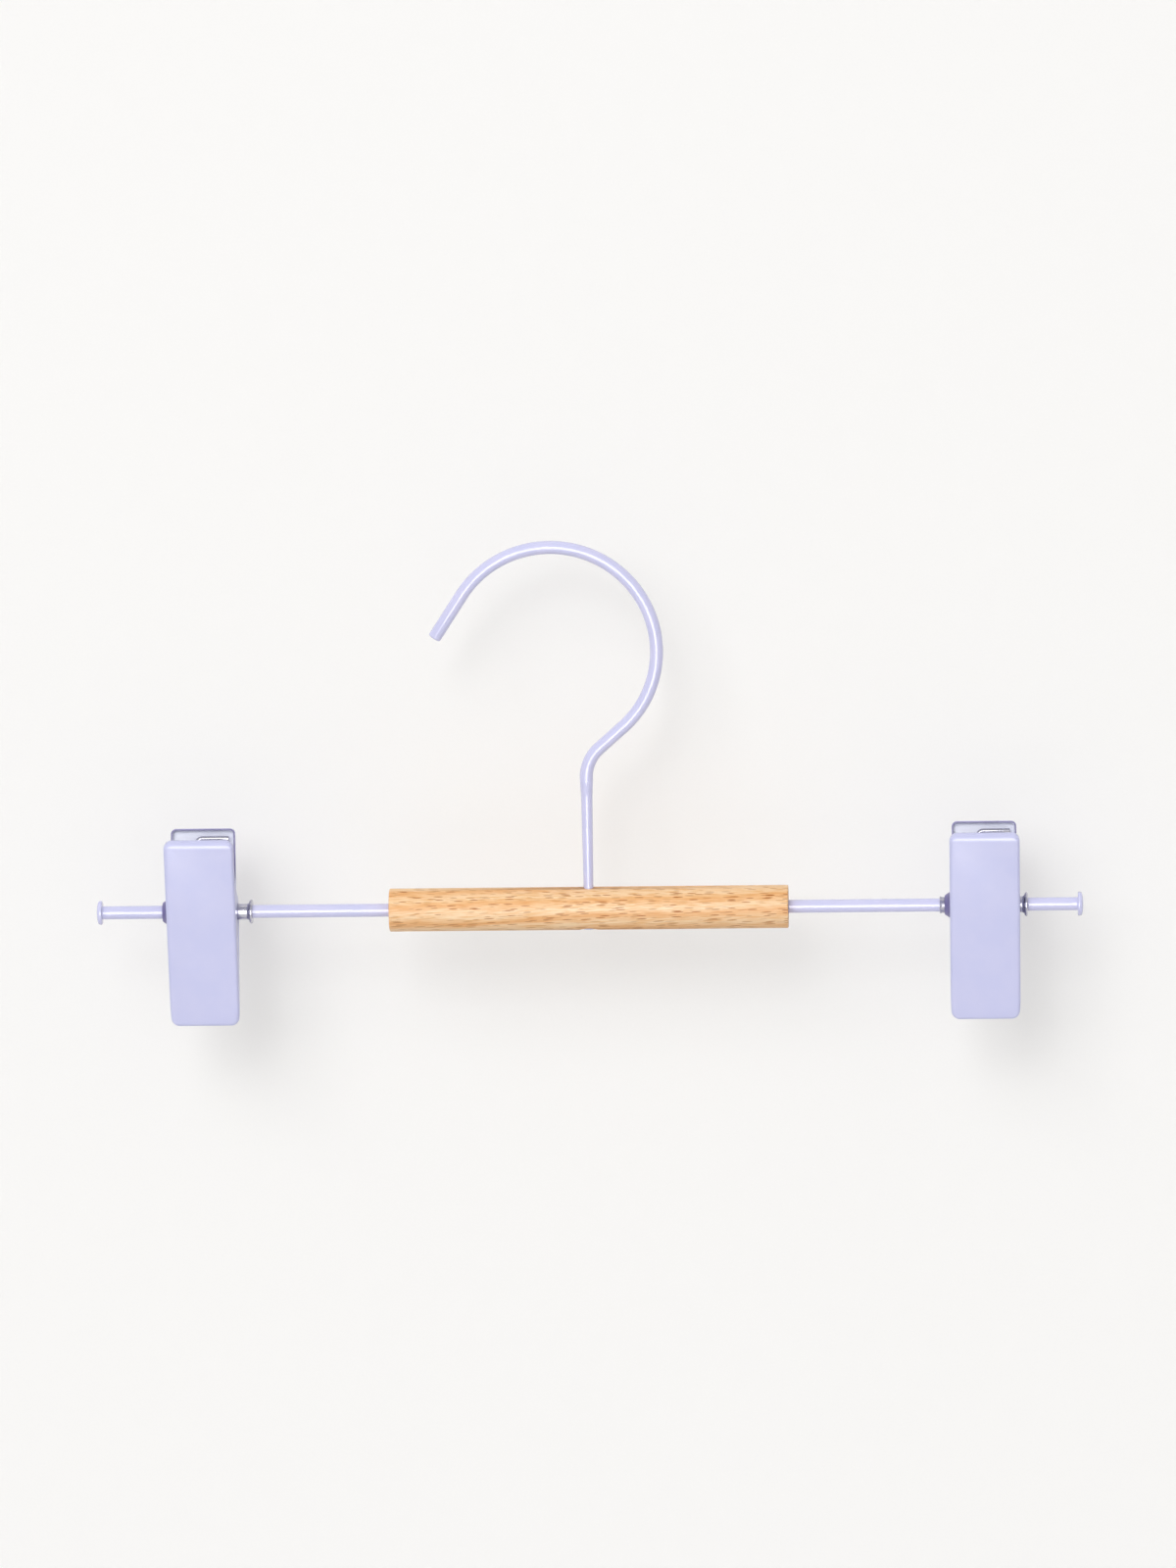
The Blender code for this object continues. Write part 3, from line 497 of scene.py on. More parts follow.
def make_rod(side, sign):
    """Local X runs from the bar's middle outward."""
    low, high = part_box(side + "_rod")
    outer = max(abs(low.x - bar_centre.x), abs(high.x - bar_centre.x)) / MM
    inner = min(abs(low.x - bar_centre.x), abs(high.x - bar_centre.x)) / MM
    head = (high.z - low.z) / 2 / MM
    shoulder = outer - HEAD_THICKNESS
    rim = outer - HEAD_DOME
    dome = [(rim + HEAD_DOME * math.cos(angle), head * math.sin(angle))
            for angle in map(math.radians, range(0, 80, 8))]
    root = arc((shoulder - HEAD_ROOT, ROD / 2 + HEAD_ROOT), HEAD_ROOT, 0, -90, 30)
    profile = dome + arc((rim - HEAD_EDGE, head - HEAD_EDGE), HEAD_EDGE, 60, 90, 15)
    profile += arc((shoulder + HEAD_EDGE, head - HEAD_EDGE), HEAD_EDGE, 90, 180, 30)
    profile += root + [(inner, ROD / 2), (inner, 0.0)]
    rod = turned(side + "_coated_rod", profile)
    return show(rod, [wire_coat], "bar", side + "_rod", bar_centre,
                (0, 0, 0 if sign > 0 else math.pi))


for side, sign in (("left", -1), ("right", 1)):
    rod = make_rod(side, sign)
    print(rod.name, "made of", len(rod.data.polygons), "faces")

# %% [markdown]
# ## Hook
# The hook is one wire bent cold: straight up from the grip, a small bend at the neck, a slanted run,
# and a throat that opens into a wide arc and ends in a short straight tip. The shank is drawn
# thinner below the neck. A bent wire is best made as a line with a round section, so the line is
# worked out from its straight runs and arcs.

# %% Bend the hook
HOOK_WIRE = 4.0
ARC_RADIUS = 31.9
ARC_SIDE = 10.0
ARC_HEIGHT = 79.6
THROAT_RADIUS = 30.8
THROAT_START = -19.0
ARC_END = 146.8
TIP_LENGTH = 15.5
TIP_ROUNDING = 0.5
NECK_SLOPE = 41.6
NECK_RADIUS = 11.8
SHANK_WAIST = 3.45
WAIST_DROP = 7.0
WAIST_STEPS = 12
HOOK_HEAD = 4.8
HOOK_HEAD_THICKNESS = 0.9
HOOK_HEAD_RECESS = 0.35
HOOK_HEAD_EDGE = ((0.0, 0.6), (0.1, 0.2), (0.3, 0.0))  # up from its end, and how much thinner it is there
HOOK_HEAD_STEP = 0.01    # height in which the head's width gives way to the shank's
TANG_RISE = 0.2          # above the grip, before the shank starts to swell


def make_hook():
    slope = math.radians(NECK_SLOPE)
    start = math.radians(THROAT_START)
    arc_centre = Vector((-ARC_SIDE, ARC_HEIGHT))
    shift = ARC_RADIUS - THROAT_RADIUS
    throat_centre = arc_centre + shift * Vector((math.cos(start), math.sin(start)))
    drop = (throat_centre.x * math.sin(slope) + THROAT_RADIUS) / math.cos(slope)
    bend = throat_centre.y - drop - NECK_RADIUS * math.tan((math.pi / 2 - slope) / 2)

    head_low = -grip_radius + HOOK_HEAD_RECESS
    head_high = head_low + HOOK_HEAD_THICKNESS
    path = [(0.0, head_low + up, HOOK_HEAD - thinner) for up, thinner in HOOK_HEAD_EDGE]
    path += [(0.0, head_high, HOOK_HEAD), (0.0, head_high + HOOK_HEAD_STEP, TANG),
             (0.0, grip_radius + TANG_RISE, TANG)]
    for step in range(WAIST_STEPS + 1):
        share = step / WAIST_STEPS
        swell = SHANK_WAIST + (HOOK_WIRE - SHANK_WAIST) * (3 - 2 * share) * share ** 2
        path.append((0.0, bend - WAIST_DROP * (1 - share), swell))
    path += [(x, z, HOOK_WIRE) for x, z in
             arc((NECK_RADIUS, bend), NECK_RADIUS, 180, 90 + NECK_SLOPE, 4)[1:]
             + arc(throat_centre, THROAT_RADIUS, NECK_SLOPE - 90, THROAT_START, 1.5)
             + arc(arc_centre, ARC_RADIUS, THROAT_START, ARC_END, 1.5)[1:]]
    tip_from = Vector(path[-1][:2])
    end = math.radians(ARC_END)
    tip_along = Vector((-math.sin(end), math.cos(end)))
    for angle in map(math.radians, (0, 20, 40, 60, 75, 90)):
        point = tip_from + tip_along * (TIP_LENGTH - TIP_ROUNDING * (1 - math.sin(angle)))
        path.append((point.x, point.y, HOOK_WIRE - 2 * TIP_ROUNDING * (1 - math.cos(angle))))
    print("hook line:", len(path), "points")
    return wire("wire_hook", [(x, 0.0, z) for x, z, diameter in path],
                [diameter for x, z, diameter in path], 14)


show(make_hook(), [wire_coat], "hook", "hook", bar_centre)

# %% [markdown]
# Under the grip the shank's end is spread over a plated washer, so the hook can turn but not pull
# out.

# %% Turn the washer
WASHER = 6.4
WASHER_THICKNESS = 0.7
WASHER_EDGE = 0.12
washer_low, washer_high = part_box("hook_washer")
half_washer = WASHER_THICKNESS / 2
washer_profile = (arc((half_washer - WASHER_EDGE, WASHER / 2 - WASHER_EDGE), WASHER_EDGE, 0, 90, 30)
                  + arc((-half_washer + WASHER_EDGE, WASHER / 2 - WASHER_EDGE), WASHER_EDGE, 90, 180, 30)
                  + [(-half_washer, TANG / 2 + PRESS_LINE), (half_washer, TANG / 2 + PRESS_LINE)])
show(turned("plated_washer", washer_profile, closed=True), [nickel], "bar", "hook_washer",
     (washer_low + washer_high) / 2, ALONG_Z)
print("washer sits", round((washer_low.z - grip_low.z) / MM, 2), "mm above the grip's underside")

# %% [markdown]
# ## Hinge tubes
# Each clip turns on an eyelet that slides along the rod: a thin tube with a rolled flange at its
# right end and a slightly opened left end. Its bore only just clears the rod, as on the real one.

# %% Turn the hinge tubes
TUBE_BORE = 4.3
TUBE = 4.9
FLANGE_THICKNESS = 0.9
FLANGE_ROLL = 0.4
FLANGE_FACE = 1.0        # from the bore's wall to where the face starts to roll over
NECK_FILLET = 0.9
MOUTH_ROUNDING = 0.35
TUBE_FLARE = 0.2
FLARE_OUTSIDE = 0.7      # length of the opened end, seen from outside
FLARE_INSIDE = 0.6
FLARE_CHAMFER = (0.15, 0.08)  # along the tube and across its edge


def make_hinge_tube(side):
    low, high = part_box(side + "_hinge_tube")
    half = (high.x - low.x) / 2 / MM
    flange = (high.z - low.z) / 2 / MM
    back = half - FLANGE_THICKNESS
    bore = TUBE_BORE / 2
    neck = TUBE / 2
    mouth = arc((half - MOUTH_ROUNDING, bore + MOUTH_ROUNDING), MOUTH_ROUNDING, 270, 360, 15)
    roll = arc((half - FLANGE_ROLL, flange - FLANGE_ROLL), FLANGE_ROLL, 0, 180, 15)
    fillet = arc((back - NECK_FILLET, neck + NECK_FILLET), NECK_FILLET, 0, -90, 15)
    flared = neck + TUBE_FLARE
    profile = [(half, bore + FLANGE_FACE)] + roll + [(back, neck + NECK_FILLET)] + fillet[1:]
    profile += [(-half + FLARE_OUTSIDE, neck), (-half + FLARE_CHAMFER[0], flared)]
    profile += [(-half, flared - FLARE_CHAMFER[1]), (-half, bore + TUBE_FLARE)]
    profile += [(-half + FLARE_INSIDE, bore)] + mouth
    tube = turned(side + "_eyelet", profile, closed=True)
    return show(tube, [nickel], side + "_slider", side + "_hinge_tube", (low + high) / 2)


for side in ("left", "right"):
    tube = make_hinge_tube(side)
    print(tube.name, "made of", len(tube.data.polygons), "faces")

# %% [markdown]
# ## Clip plates
# A clip is two plates pressed from half-millimetre sheet. Each has its edge folded in all round: a
# soft fold across the handle, a tight one along the sides and the jaw. At the pivot the sides grow
# into ears that the eyelet passes through, and from there their edge slants down to the jaw. The
# back plate is narrower, so that its ears nest inside the front plate's. The front plate's left ear
# has a low round boss, drawn out of the sheet round the eyelet's plain end.
#
# One outline, carried round the folds ring by ring, gives that surface exactly, and Solidify gives
# it the sheet's thickness, with the inner skin painted paler as painted light and the cut rim painted
# darker as painted shade. A small bevel then softens the cut edge, as tumbling and coating do.

# %% Draw the plate's outline
SHEET = 0.5
NEST_GAP = 0.3
HANDLE_LENGTH = 25.0
JAW_LENGTH = 34.8
PIVOT_DEPTH = 7.1
JAW_HALF_THICKNESS = 2.35
SIDE_BEND = 1.0
HANDLE = {"front": (2.5, 2.0), "back": (1.6, 1.3)}  # corner seen from the front, and bend at the end
JAW_CORNER = 2.6
HANDLE_RIM = 2.5
JAW_RIM = 1.6
JAW_TAPER = 0.5
JAW_TAPER_LENGTH = 7.0
EAR_RADIUS = 4.6
EAR_BASE_UP = 10.5
EAR_BASE_DOWN = 29.0
EAR_STEPS = 24
TAPER_STEPS = 10
TILT = (math.atan2(PIVOT_DEPTH, JAW_LENGTH)
        - math.asin(JAW_HALF_THICKNESS / math.hypot(JAW_LENGTH, PIVOT_DEPTH)))


def ear_tangent(base, rim):
    """Where the ramp from the base touches the ear's round nose, in radians from the plate's length."""
    drop = PIVOT_DEPTH - rim
    return math.acos(EAR_RADIUS / math.hypot(base, drop)) - math.atan2(drop, base)


def half_width_at(height, half_width):
    """The jaw draws in a little towards its end, and above that the plate is straight."""
    below = max(0.0, JAW_TAPER_LENGTH - (height + JAW_LENGTH))
    return half_width - JAW_TAPER * (below / JAW_TAPER_LENGTH) ** 2


def plate_columns(width, corner):
    """Right half of the rim, top to bottom, as (x, height, rim depth)."""
    half = width / 2
    columns = [(x, z, HANDLE_RIM) for x, z in
               arc((half - corner, HANDLE_LENGTH - corner), corner, 90, 0)]
    columns.append((half, EAR_BASE_UP, HANDLE_RIM))
    upper = ear_tangent(EAR_BASE_UP, HANDLE_RIM)
    lower = ear_tangent(EAR_BASE_DOWN, JAW_RIM)
    for step in range(EAR_STEPS + 1):
        angle = upper + (math.pi - lower - upper) * step / EAR_STEPS
        columns.append((half, EAR_RADIUS * math.cos(angle), PIVOT_DEPTH + EAR_RADIUS * math.sin(angle)))
    nose_height, nose_depth = columns[-1][1:]
    taper_top = -JAW_LENGTH + JAW_TAPER_LENGTH
    corner_top = -JAW_LENGTH + JAW_CORNER
    for step in range(TAPER_STEPS):
        height = taper_top + (corner_top - taper_top) * step / TAPER_STEPS
        share = (height + EAR_BASE_DOWN) / (nose_height + EAR_BASE_DOWN)
        depth = max(JAW_RIM, JAW_RIM + share * (nose_depth - JAW_RIM))
        columns.append((half_width_at(height, half), height, depth))
    jaw_corner = (half_width_at(corner_top, half) - JAW_CORNER, corner_top)
    columns += [(x, z, JAW_RIM) for x, z in arc(jaw_corner, JAW_CORNER, 0, -90)]
    return columns


print("plates lean", round(math.degrees(TILT), 2), "degrees;",
      len(plate_columns(20.0, 2.0)), "columns a side")

# %% Press the plates
BEND_STEPS = 7
CUT_EDGE = 0.1
BOSS_BASE = 8.2
BOSS_TIP = 6.2
BOSS_HEIGHT = 1.6
BOSS_ROUNDING = 0.45
EAR_HOLE = 5.3
HOLE_SPARE = 2.0         # how far the cut for the ear holes reaches past the bosses
RIM_SHADE_COAT, INNER_LIGHT_COAT = 1, 2  # places in a plate's list of coats: the rim's painted shade and the inner skin's painted light; its outer skin's is 0


def pressed_surface(name, width, corner, handle_bend):
    """Outer skin in the plate's own frame: pivot at the origin, face towards -Y."""
    right = plate_columns(width, corner)
    loop = right + [(-x, z, depth) for x, z, depth in reversed(right)]
    count = len(loop)
    bm = bmesh.new()
    rings = [[] for level in range(BEND_STEPS + 2)]
    for index, (x, z, depth) in enumerate(loop):
        before = Vector(loop[index - 1][:2])
        after = Vector(loop[(index + 1) % count][:2])
        along = (after - before).normalized()
        inward = Vector((along.y, -along.x))
        bend = SIDE_BEND
        if z > 0:
            bend += (handle_bend - SIDE_BEND) * inward.y ** 2
        rings[0].append(bm.verts.new(Vector((x, -PIVOT_DEPTH + depth, z)) * MM))
        for level in range(BEND_STEPS + 1):
            angle = math.pi / 2 * level / BEND_STEPS
            inset = inward * bend * (1 - math.cos(angle))
            y = -PIVOT_DEPTH + bend * (1 - math.sin(angle))
            rings[level + 1].append(bm.verts.new(Vector((x + inset.x, y, z + inset.y)) * MM))
    for outer, inner in zip(rings, rings[1:]):
        for index in range(count):
            following = (index + 1) % count
            bm.faces.new((outer[index], inner[index], inner[following], outer[following]))
    bm.faces.new(list(reversed(rings[-1])))
    return mesh_object(name, bm, sharp_angle=50.0)


def make_plate(side, which, width, pivot, turn):
    name = f"{side}_{which}_plate"
    plate = pressed_surface(name + "_pressed", width, *HANDLE[which])
    for coat in (sheet_coat, painted_shade_edge_coat, painted_light_inner_coat):
        plate.data.materials.append(coat)
    sheet = plate.modifiers.new("Sheet", 'SOLIDIFY')
    sheet.thickness = SHEET * MM
    sheet.offset = -1.0
    sheet.use_even_offset = True
    # the cut rim takes the dark coat, which is painted shade
    sheet.material_offset_rim = RIM_SHADE_COAT
    # the inner skin takes the pale coat, which is painted light
    sheet.material_offset = INNER_LIGHT_COAT
    soft = plate.modifiers.new("Soft edge", 'BEVEL')
    soft.width = CUT_EDGE * MM
    soft.segments = 2
    soft.angle_limit = math.radians(60)
    if which == "front":
        face = width / 2
        cone = arc((face + BOSS_HEIGHT - BOSS_ROUNDING, BOSS_TIP / 2 - BOSS_ROUNDING),
                   BOSS_ROUNDING, 0, 65, 13)
        boss = turned(name + "_boss", [(face + BOSS_HEIGHT, 0)] + cone
                      + [(face - SHEET / 2, BOSS_BASE / 2), (face - SHEET / 2, 0)])
        for polygon in boss.data.polygons:  # the boss takes the rim's dark coat: painted shade on its side
            polygon.material_index = RIM_SHADE_COAT
        combine(plate, boss, 'UNION', (0, 0, 0), (0, 0, math.pi))
    reach = width / 2 + BOSS_HEIGHT + HOLE_SPARE
    combine(plate, peg(name + "_ear_holes", reach, EAR_HOLE / 2), 'DIFFERENCE')
    show(carry_out(plate), [], f"{side}_clip_{which}", name, pivot, (TILT, 0, turn))


# %% [markdown]
# ## Jaw pads
# Each jaw holds a moulded pad with five ridges across it that grip the cloth. The pad's back follows
# the leaning plate and its front stands upright, so the two meet when the clip is closed.

# %% Mould the pads
PAD_HEIGHT = 10.0
PAD_RIDGES = 5
PAD_RIDGE_DEPTH = 0.5
PAD_CLOSED_GAP = 0.3
PAD_ROUNDING = 0.15


def make_pad(side, which, width, pivot, turn):
    """An outline in the (depth, height) plane, carried across the jaw between its folded sides."""
    back = -PIVOT_DEPTH + SHEET + NEST_GAP
    bottom = -JAW_LENGTH + SHEET + NEST_GAP
    outline = [(back, bottom + PAD_HEIGHT), (back, bottom)]
    for step in range(2 * PAD_RIDGES + 1):
        height = bottom + PAD_HEIGHT * step / (2 * PAD_RIDGES)
        front = (-PAD_CLOSED_GAP / 2 + height * math.sin(TILT)) / math.cos(TILT)
        outline.append((front - (PAD_RIDGE_DEPTH if step % 2 else 0.0), height))
    half = half_width_at(-JAW_LENGTH + JAW_CORNER, width / 2) - JAW_CORNER
    bm = bmesh.new()
    near = [bm.verts.new(Vector((-half, y, z)) * MM) for y, z in outline]
    bm.faces.new(near)
    grown = bmesh.ops.extrude_face_region(bm, geom=bm.faces[:])
    moved = [v for v in grown['geom'] if isinstance(v, bmesh.types.BMVert)]
    bmesh.ops.translate(bm, verts=moved, vec=(2 * half * MM, 0, 0))
    bmesh.ops.recalc_face_normals(bm, faces=bm.faces[:])
    name = f"{side}_{which}_pad"
    pad = mesh_object(name + "_moulded", bm)
    show(pad, [soft_pvc], f"{side}_clip_{which}", name, pivot, (TILT, 0, turn))
    soft = pad.modifiers.new("Mould rounding", 'BEVEL')
    soft.width = PAD_ROUNDING * MM
    soft.segments = 3
    soft.angle_limit = math.radians(30)


# %% [markdown]
# ## Springs
# A torsion spring is wound round the eyelet. Each end leaves the coil straight up inside a handle
# and turns over sideways, where it bears on the plate. When the clip opens, one leg follows each
# plate and the coil between them twists. So the spring is shown as three lengths of one wire: the
# legs ride on their plates, and the coil is carried by no body and stays where it is wound.

# %% Wind the springs
SPRING_WIRE = 1.5
SPRING_COILS = 4.5
SPRING_PITCH = 2.0
SPRING_RADIUS = 3.84
SPRING_SHIFT = 2.6
LEG_CORNER = 1.5
LEG_RUN = 9.7
LEG_DROP = 2.35
LEG_TIP = 0.2
LEG_TIP_EDGE = ((0.12, 0.1), (LEG_TIP, 0.4))  # out along the tip, and how much thinner it is there
LEG_DEPTH = PIVOT_DEPTH - SHEET - NEST_GAP - SPRING_WIRE / 2  # of a leg's end, from the pivot
LEG_HEIGHT = HANDLE_LENGTH - LEG_DROP - SPRING_WIRE / 2
COIL_STEP = 9.0          # degrees a point


def leg_points(x, run, lean, front):
    """One leg, from the coil up, with its corner and its turned-over end."""
    length = math.sqrt(LEG_DEPTH ** 2 + LEG_HEIGHT ** 2 - SPRING_RADIUS ** 2)
    foot = Vector((x, SPRING_RADIUS * math.cos(lean), -SPRING_RADIUS * math.sin(lean)))
    up = Vector((0.0, math.sin(lean), math.cos(lean)))
    side = Vector((math.copysign(1.0, run), 0.0, 0.0))
    corner = foot + up * (length - LEG_CORNER) + side * LEG_CORNER
    points = [foot]
    for angle in map(math.radians, range(0, 91, 10)):
        points.append(corner + LEG_CORNER * (up * math.sin(angle) - side * math.cos(angle)))
    end = foot + up * length + side * (abs(run) - LEG_TIP)
    points += [end] + [end + side * out for out, thinner in LEG_TIP_EDGE]
    return [Vector((p.x, -p.y, p.z)) for p in points] if front else points


def make_spring(side, pivot):
    lean = (TILT + math.atan2(LEG_DEPTH, LEG_HEIGHT)
            - math.asin(SPRING_RADIUS / math.hypot(LEG_DEPTH, LEG_HEIGHT)))
    total = SPRING_COILS * math.tau - 2 * lean
    width = SPRING_PITCH * total / math.tau
    first = SPRING_SHIFT - width / 2
    steps = round(math.degrees(total) / COIL_STEP)
    coil = []
    for step in range(steps + 1):
        angle = -lean - total * step / steps
        coil.append(Vector((first + width * step / steps,
                            SPRING_RADIUS * math.cos(angle), SPRING_RADIUS * math.sin(angle))))
    name = side + "_spring"
    for which, start, run in (("back", first, LEG_RUN), ("front", first + width, -LEG_RUN)):
        points = leg_points(start, run, lean, which == "front")
        thick = [SPRING_WIRE] * (len(points) - len(LEG_TIP_EDGE))
        thick += [SPRING_WIRE - thinner for out, thinner in LEG_TIP_EDGE]
        leg = wire(f"{name}_{which}_leg", points, thick)
        show(leg, [nickel], f"{side}_clip_{which}", name, pivot)
    wound = show(wire(name + "_coil", coil, [SPRING_WIRE] * len(coil)), [nickel], None, name,
                 pivot)
    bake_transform(wound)
    return len(coil)


# %% Put both clips together
back_low, back_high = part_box("left_back_plate")
back_width = (back_high.x - back_low.x) / MM
front_width = back_width + 2 * (SHEET + NEST_GAP)
for side in ("left", "right"):
    low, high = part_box(side + "_back_plate")
    pivot = Vector(((low.x + high.x) / 2, bar_centre.y, bar_centre.z))
    make_plate(side, "back", back_width, pivot, math.pi)
    make_plate(side, "front", front_width, pivot, 0.0)
    make_pad(side, "back", back_width, pivot, math.pi)
    make_pad(side, "front", front_width, pivot, 0.0)
    points = make_spring(side, pivot)
    print(side, "clip at", round(pivot.x / MM, 2), "mm; coil of", points, "points")

# %% [markdown]
# ## Wall and floor
# The hanger hangs four centimetres in front of a plain white wall, which catches its soft shadow.
# The wall has only a front: seen from behind it lets light and sight through, so the back of the
# hanger can be looked at too. A floor of the same white lies well below.
#
# To the eye, and in a reflection or through glass, the paper is white. A quarter of what is seen
# there is plain white, which keeps the hanger's shadow but lightens the faint shade that soft light
# leaves all round it. The soft light that the paper throws back on the hanger is dimmed a little with
# the Light Path node, so that the sides of the wires that face the wall stay a shade deeper than
# their fronts and the round shape reads.

# %% Build the backdrop
WALL_WHITE = "#FBFAF8"
WALL_TOOTH = "#F9F8F6"   # in the hollows of the paper's tooth
TOOTH_SCALE = 1.5        # per mm
WALL_BOUNCE = "#DDDCDD"  # what soft light off the paper is dimmed to
WALL_EVENNESS = 0.25     # share of plain white in what is seen, which lightens faint shading
WALL_GAP = 0.041         # metres behind the bar; the clips need 0.036 to swing
WALL_LEAN = math.radians(6.0)  # the board's top is nearer, so the hook's shadow is closer to it
FLOOR_DROP = 0.80        # metres below the hanger
BOARD = 3.0              # metres along each side of the wall and of the floor


def make_backdrop_paper():
    made, tree, shader, mm = new_material("matt_backdrop_paper", Roughness=0.9)
    tooth = add_node(tree, 'ShaderNodeTexNoise', {'Vector': mm, 'Scale': TOOTH_SCALE, 'Detail': 2.0})
    tone = add_node(tree, 'ShaderNodeValToRGB', {0: tooth.outputs[0]},
                    [(0.2, linear(WALL_TOOTH)), (0.8, linear(WALL_WHITE))])
    ray = add_node(tree, 'ShaderNodeLightPath')
    opaque_look = add_node(tree, 'ShaderNodeMath',
                           {0: ray.outputs['Is Camera Ray'], 1: ray.outputs['Is Glossy Ray']},
                           operation='ADD')
    looked_at = add_node(tree, 'ShaderNodeMath',
                         {0: opaque_look.outputs[0], 1: ray.outputs['Is Transmission Ray']},
                         operation='ADD', use_clamp=True)
    paper_tone = add_node(tree, 'ShaderNodeMix',
                          {0: looked_at.outputs[0], 6: linear(WALL_BOUNCE), 7: tone.outputs[0]},
                          data_type='RGBA')
    tree.links.new(paper_tone.outputs[2], shader.inputs['Base Color'])
    white = add_node(tree, 'ShaderNodeEmission', {'Color': tone.outputs[0], 'Strength': 1.0})
    evened = add_node(tree, 'ShaderNodeMath', {0: looked_at.outputs[0], 1: WALL_EVENNESS},
                      operation='MULTIPLY')
    front = add_node(tree, 'ShaderNodeMixShader',
                     {0: evened.outputs[0], 1: shader.outputs[0], 2: white.outputs[0]})
    side = add_node(tree, 'ShaderNodeNewGeometry')
    through = add_node(tree, 'ShaderNodeBsdfTransparent')
    one_sided = add_node(tree, 'ShaderNodeMixShader', {0: side.outputs['Backfacing'], 1: front.outputs[0],
                                                       2: through.outputs[0]})
    tree.links.new(one_sided.outputs[0], tree.nodes['Material Output'].inputs[0])
    made.cycles.emission_sampling = 'NONE'  # the plain white is only looked at and lights nothing
    return made


def make_sheet(name, location, rotation=(0, 0, 0)):
    bm = bmesh.new()
    bmesh.ops.create_grid(bm, x_segments=1, y_segments=1, size=BOARD / 2)
    sheet = mesh_object(name, bm)
    scene.collection.objects.link(sheet)
    sheet.data.materials.append(paper)
    sheet.location = location
    sheet.rotation_euler = rotation


paper = make_backdrop_paper()
floor_level = cad_box[0].z - FLOOR_DROP
wall_middle = floor_level + BOARD / 2 * math.cos(WALL_LEAN)
wall_depth = bar_centre.y + WALL_GAP - (wall_middle - bar_centre.z) * math.tan(WALL_LEAN)
make_sheet("wall", (bar_centre.x, wall_depth, wall_middle), (math.pi / 2 + WALL_LEAN, 0, 0))
wall_foot = wall_depth + BOARD / 2 * math.sin(WALL_LEAN)
make_sheet("floor", (bar_centre.x, wall_foot - BOARD / 2, floor_level))
print("floor at", round(floor_level, 3), "m")

# %% [markdown]
# ## Light
# Two soft boxes high on the left throw the shadows to the lower right. The small one gives the dark
# heart of a shadow and the large one its wide soft edge. A pale surround, brighter in front and
# above than behind, lights the rest and lets the edges of round pieces fall off. Together they come
# to about the level at which a colour shows as it is written.
#
# A white card by the camera is there for the gloss alone. A round wire mirrors it in one narrow
# place, where it faces halfway between the card and the lens, so the card draws the fine bright
# line down the middle of every wire. It reaches low enough for the upright shank, which mirrors
# what lies as far below the level as the camera is above it. The boxes stay out of the gloss, since
# each would add a second line.

# %% Light the studio
BOX_DISTANCE = 6.0       # metres
KEY_AIM = (-8.0, 30.0)   # degrees to the right of straight in front and above level, to its middle
KEY_SIZE = (1.2, 1.2)
KEY_LEVEL = 0.10         # share of full light on a surface that faces it
SIDE_AIM = (-18.0, 30.0)
SIDE_SIZE = (3.0, 3.6)
SIDE_LEVEL = 0.36
CARD_AIM = (0.0, 0.0)
CARD_DISTANCE = 3.0
CARD_SIZE = (2.0, 2.6)
CARD_BRIGHTNESS = 7.5    # times white
SURROUND_ELEVATION = 38.0
SURROUND_TURN = -0.2     # cosine from its middle at which it is down to the level behind
SURROUND_FRONT = 0.73
SURROUND_BACK = 0.34
focus = Vector((bar_centre.x, 0.0, (cad_box[0].z + cad_box[1].z) / 2))


def direction(azimuth, elevation):
    """Unit vector from the hanger to where these angles point, in degrees."""
    turn, rise = math.radians(azimuth), math.radians(elevation)
    return Vector((math.sin(turn) * math.cos(rise), -math.cos(turn) * math.cos(rise), math.sin(rise)))


def box_energy(level, distance):
    """Watts at which a box lights a surface that faces it to this share of full light."""
    return math.pi ** 2 * level * distance ** 2


def soft_box(name, azimuth, elevation, distance, size, energy):
    lamp = bpy.data.lights.new(name, 'AREA')
    lamp.shape = 'RECTANGLE'
    lamp.size, lamp.size_y = size
    lamp.energy = energy
    box = bpy.data.objects.new(name, lamp)
    scene.collection.objects.link(box)
    towards = direction(azimuth, elevation)
    box.location = focus + towards * distance
    box.rotation_euler = towards.to_track_quat('Z', 'Y').to_euler()
    return box


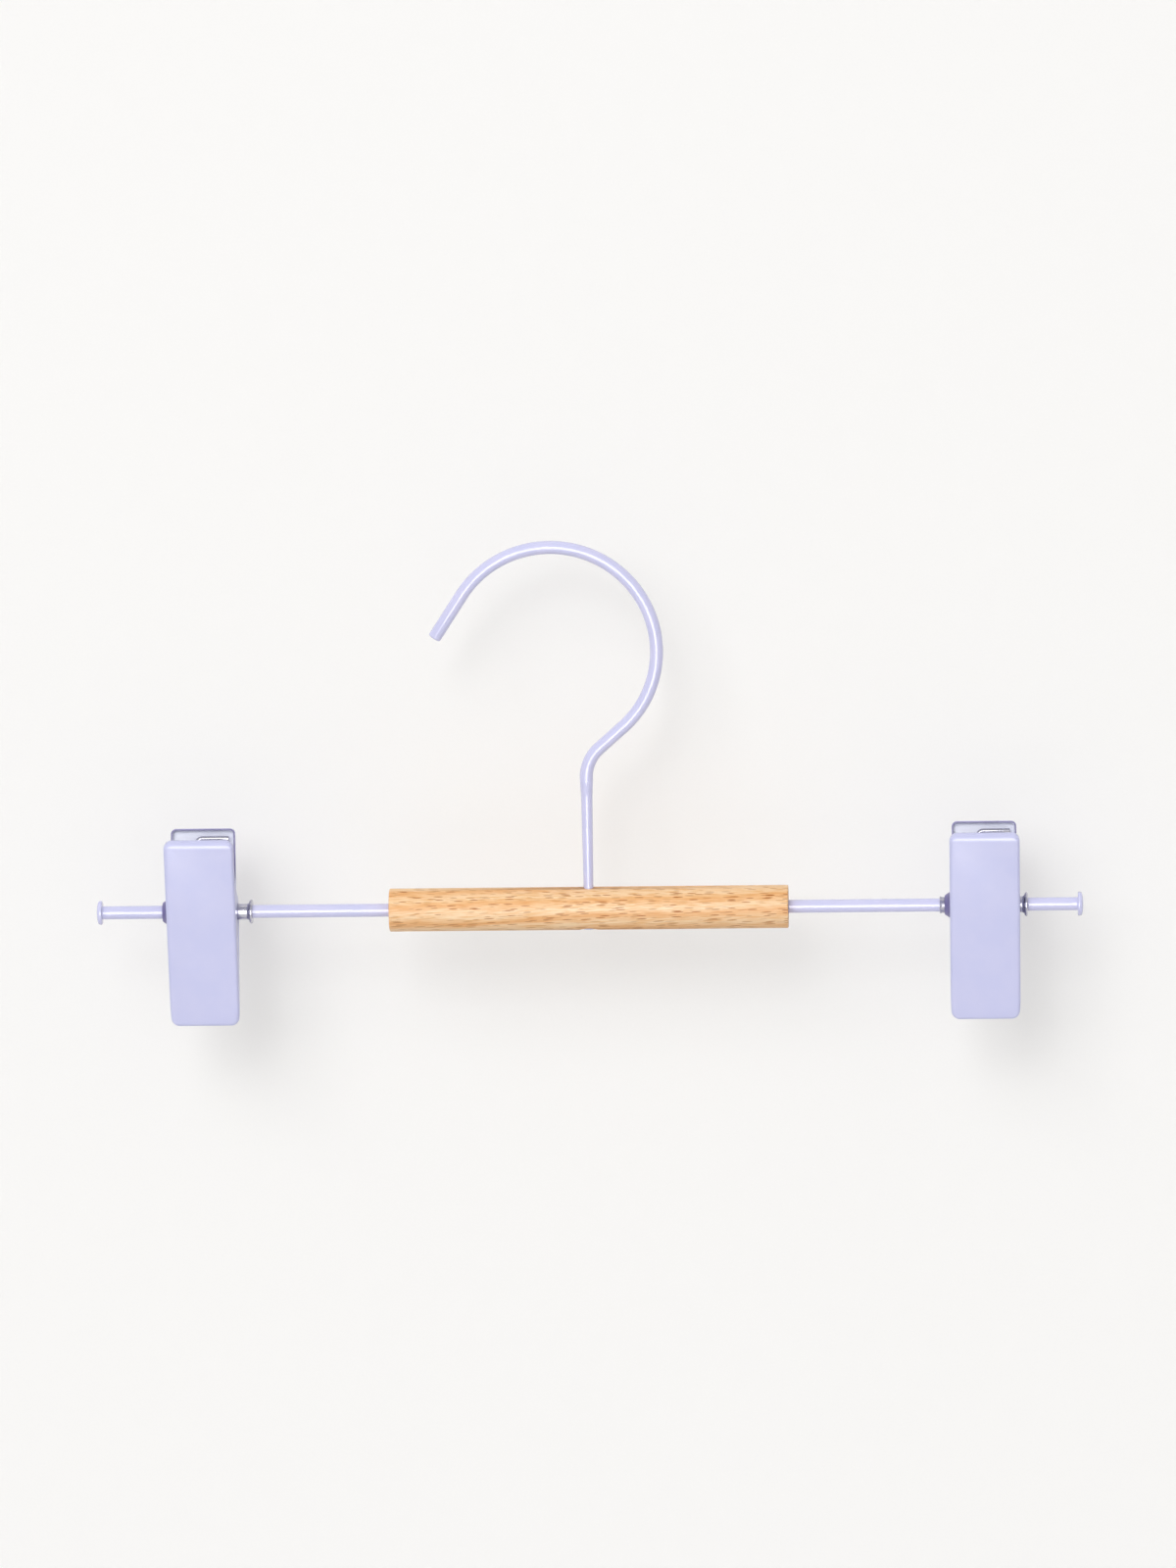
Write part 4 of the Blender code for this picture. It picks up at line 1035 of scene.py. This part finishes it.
def make_surround():
    world = bpy.data.worlds.new("surround")
    world.use_nodes = True
    scene.world = world
    tree = world.node_tree
    shader = tree.nodes['Background']
    aim = add_node(tree, 'ShaderNodeTexCoord')
    frontness = add_node(tree, 'ShaderNodeVectorMath',
                         {0: aim.outputs['Generated'], 1: direction(0.0, SURROUND_ELEVATION)},
                         operation='DOT_PRODUCT')
    level = add_node(tree, 'ShaderNodeMapRange',
                     {0: frontness.outputs['Value'], 1: SURROUND_TURN, 3: SURROUND_BACK, 4: SURROUND_FRONT})
    shader.inputs['Color'].default_value = linear("#FFFFFF")
    tree.links.new(level.outputs[0], shader.inputs['Strength'])


key = soft_box("soft_box", *KEY_AIM, BOX_DISTANCE, KEY_SIZE, box_energy(KEY_LEVEL, BOX_DISTANCE))
side_box = soft_box("tall_soft_box", *SIDE_AIM, BOX_DISTANCE, SIDE_SIZE,
                    box_energy(SIDE_LEVEL, BOX_DISTANCE))
card = soft_box("gloss_card", *CARD_AIM, CARD_DISTANCE, CARD_SIZE,
                math.pi * CARD_BRIGHTNESS * CARD_SIZE[0] * CARD_SIZE[1])
card.visible_diffuse = False
for box in (key, side_box):
    box.visible_glossy = False
make_surround()
print("boxes", round(key.data.energy, 1), "and", round(side_box.data.energy, 1), "W, card",
      round(card.data.energy, 1), "W")

# %% [markdown]
# ## Camera
# The photograph was taken from a little above and a touch to the right, from far enough away that
# upright lines stay nearly upright. A long lens at the same distance gives the same picture.

# %% Place the camera
CAMERA_AZIMUTH = 2.5     # degrees to the right of straight in front
CAMERA_ELEVATION = 12.0
CAMERA_ROLL = -1.10
CAMERA_DISTANCE = 2.4    # metres
PICTURE_HEIGHT = 0.4748  # metres seen at the hanger
PICTURE_CENTRE = Vector((0.01045, 0.0, -0.0709))
SENSOR = 36.0            # mm on the picture's long side

camera_data = bpy.data.cameras.new("camera")
camera_data.sensor_width = SENSOR
camera_data.lens = SENSOR * CAMERA_DISTANCE / PICTURE_HEIGHT
camera = bpy.data.objects.new("camera", camera_data)
scene.collection.objects.link(camera)
back = direction(CAMERA_AZIMUTH, CAMERA_ELEVATION)
camera.location = PICTURE_CENTRE + back * CAMERA_DISTANCE
camera.rotation_mode = 'QUATERNION'
camera.rotation_quaternion = ((-back).to_track_quat('-Z', 'Y')
                              @ Quaternion((0, 0, 1), math.radians(CAMERA_ROLL)))
scene.camera = camera
print("lens:", round(camera_data.lens, 1), "mm")
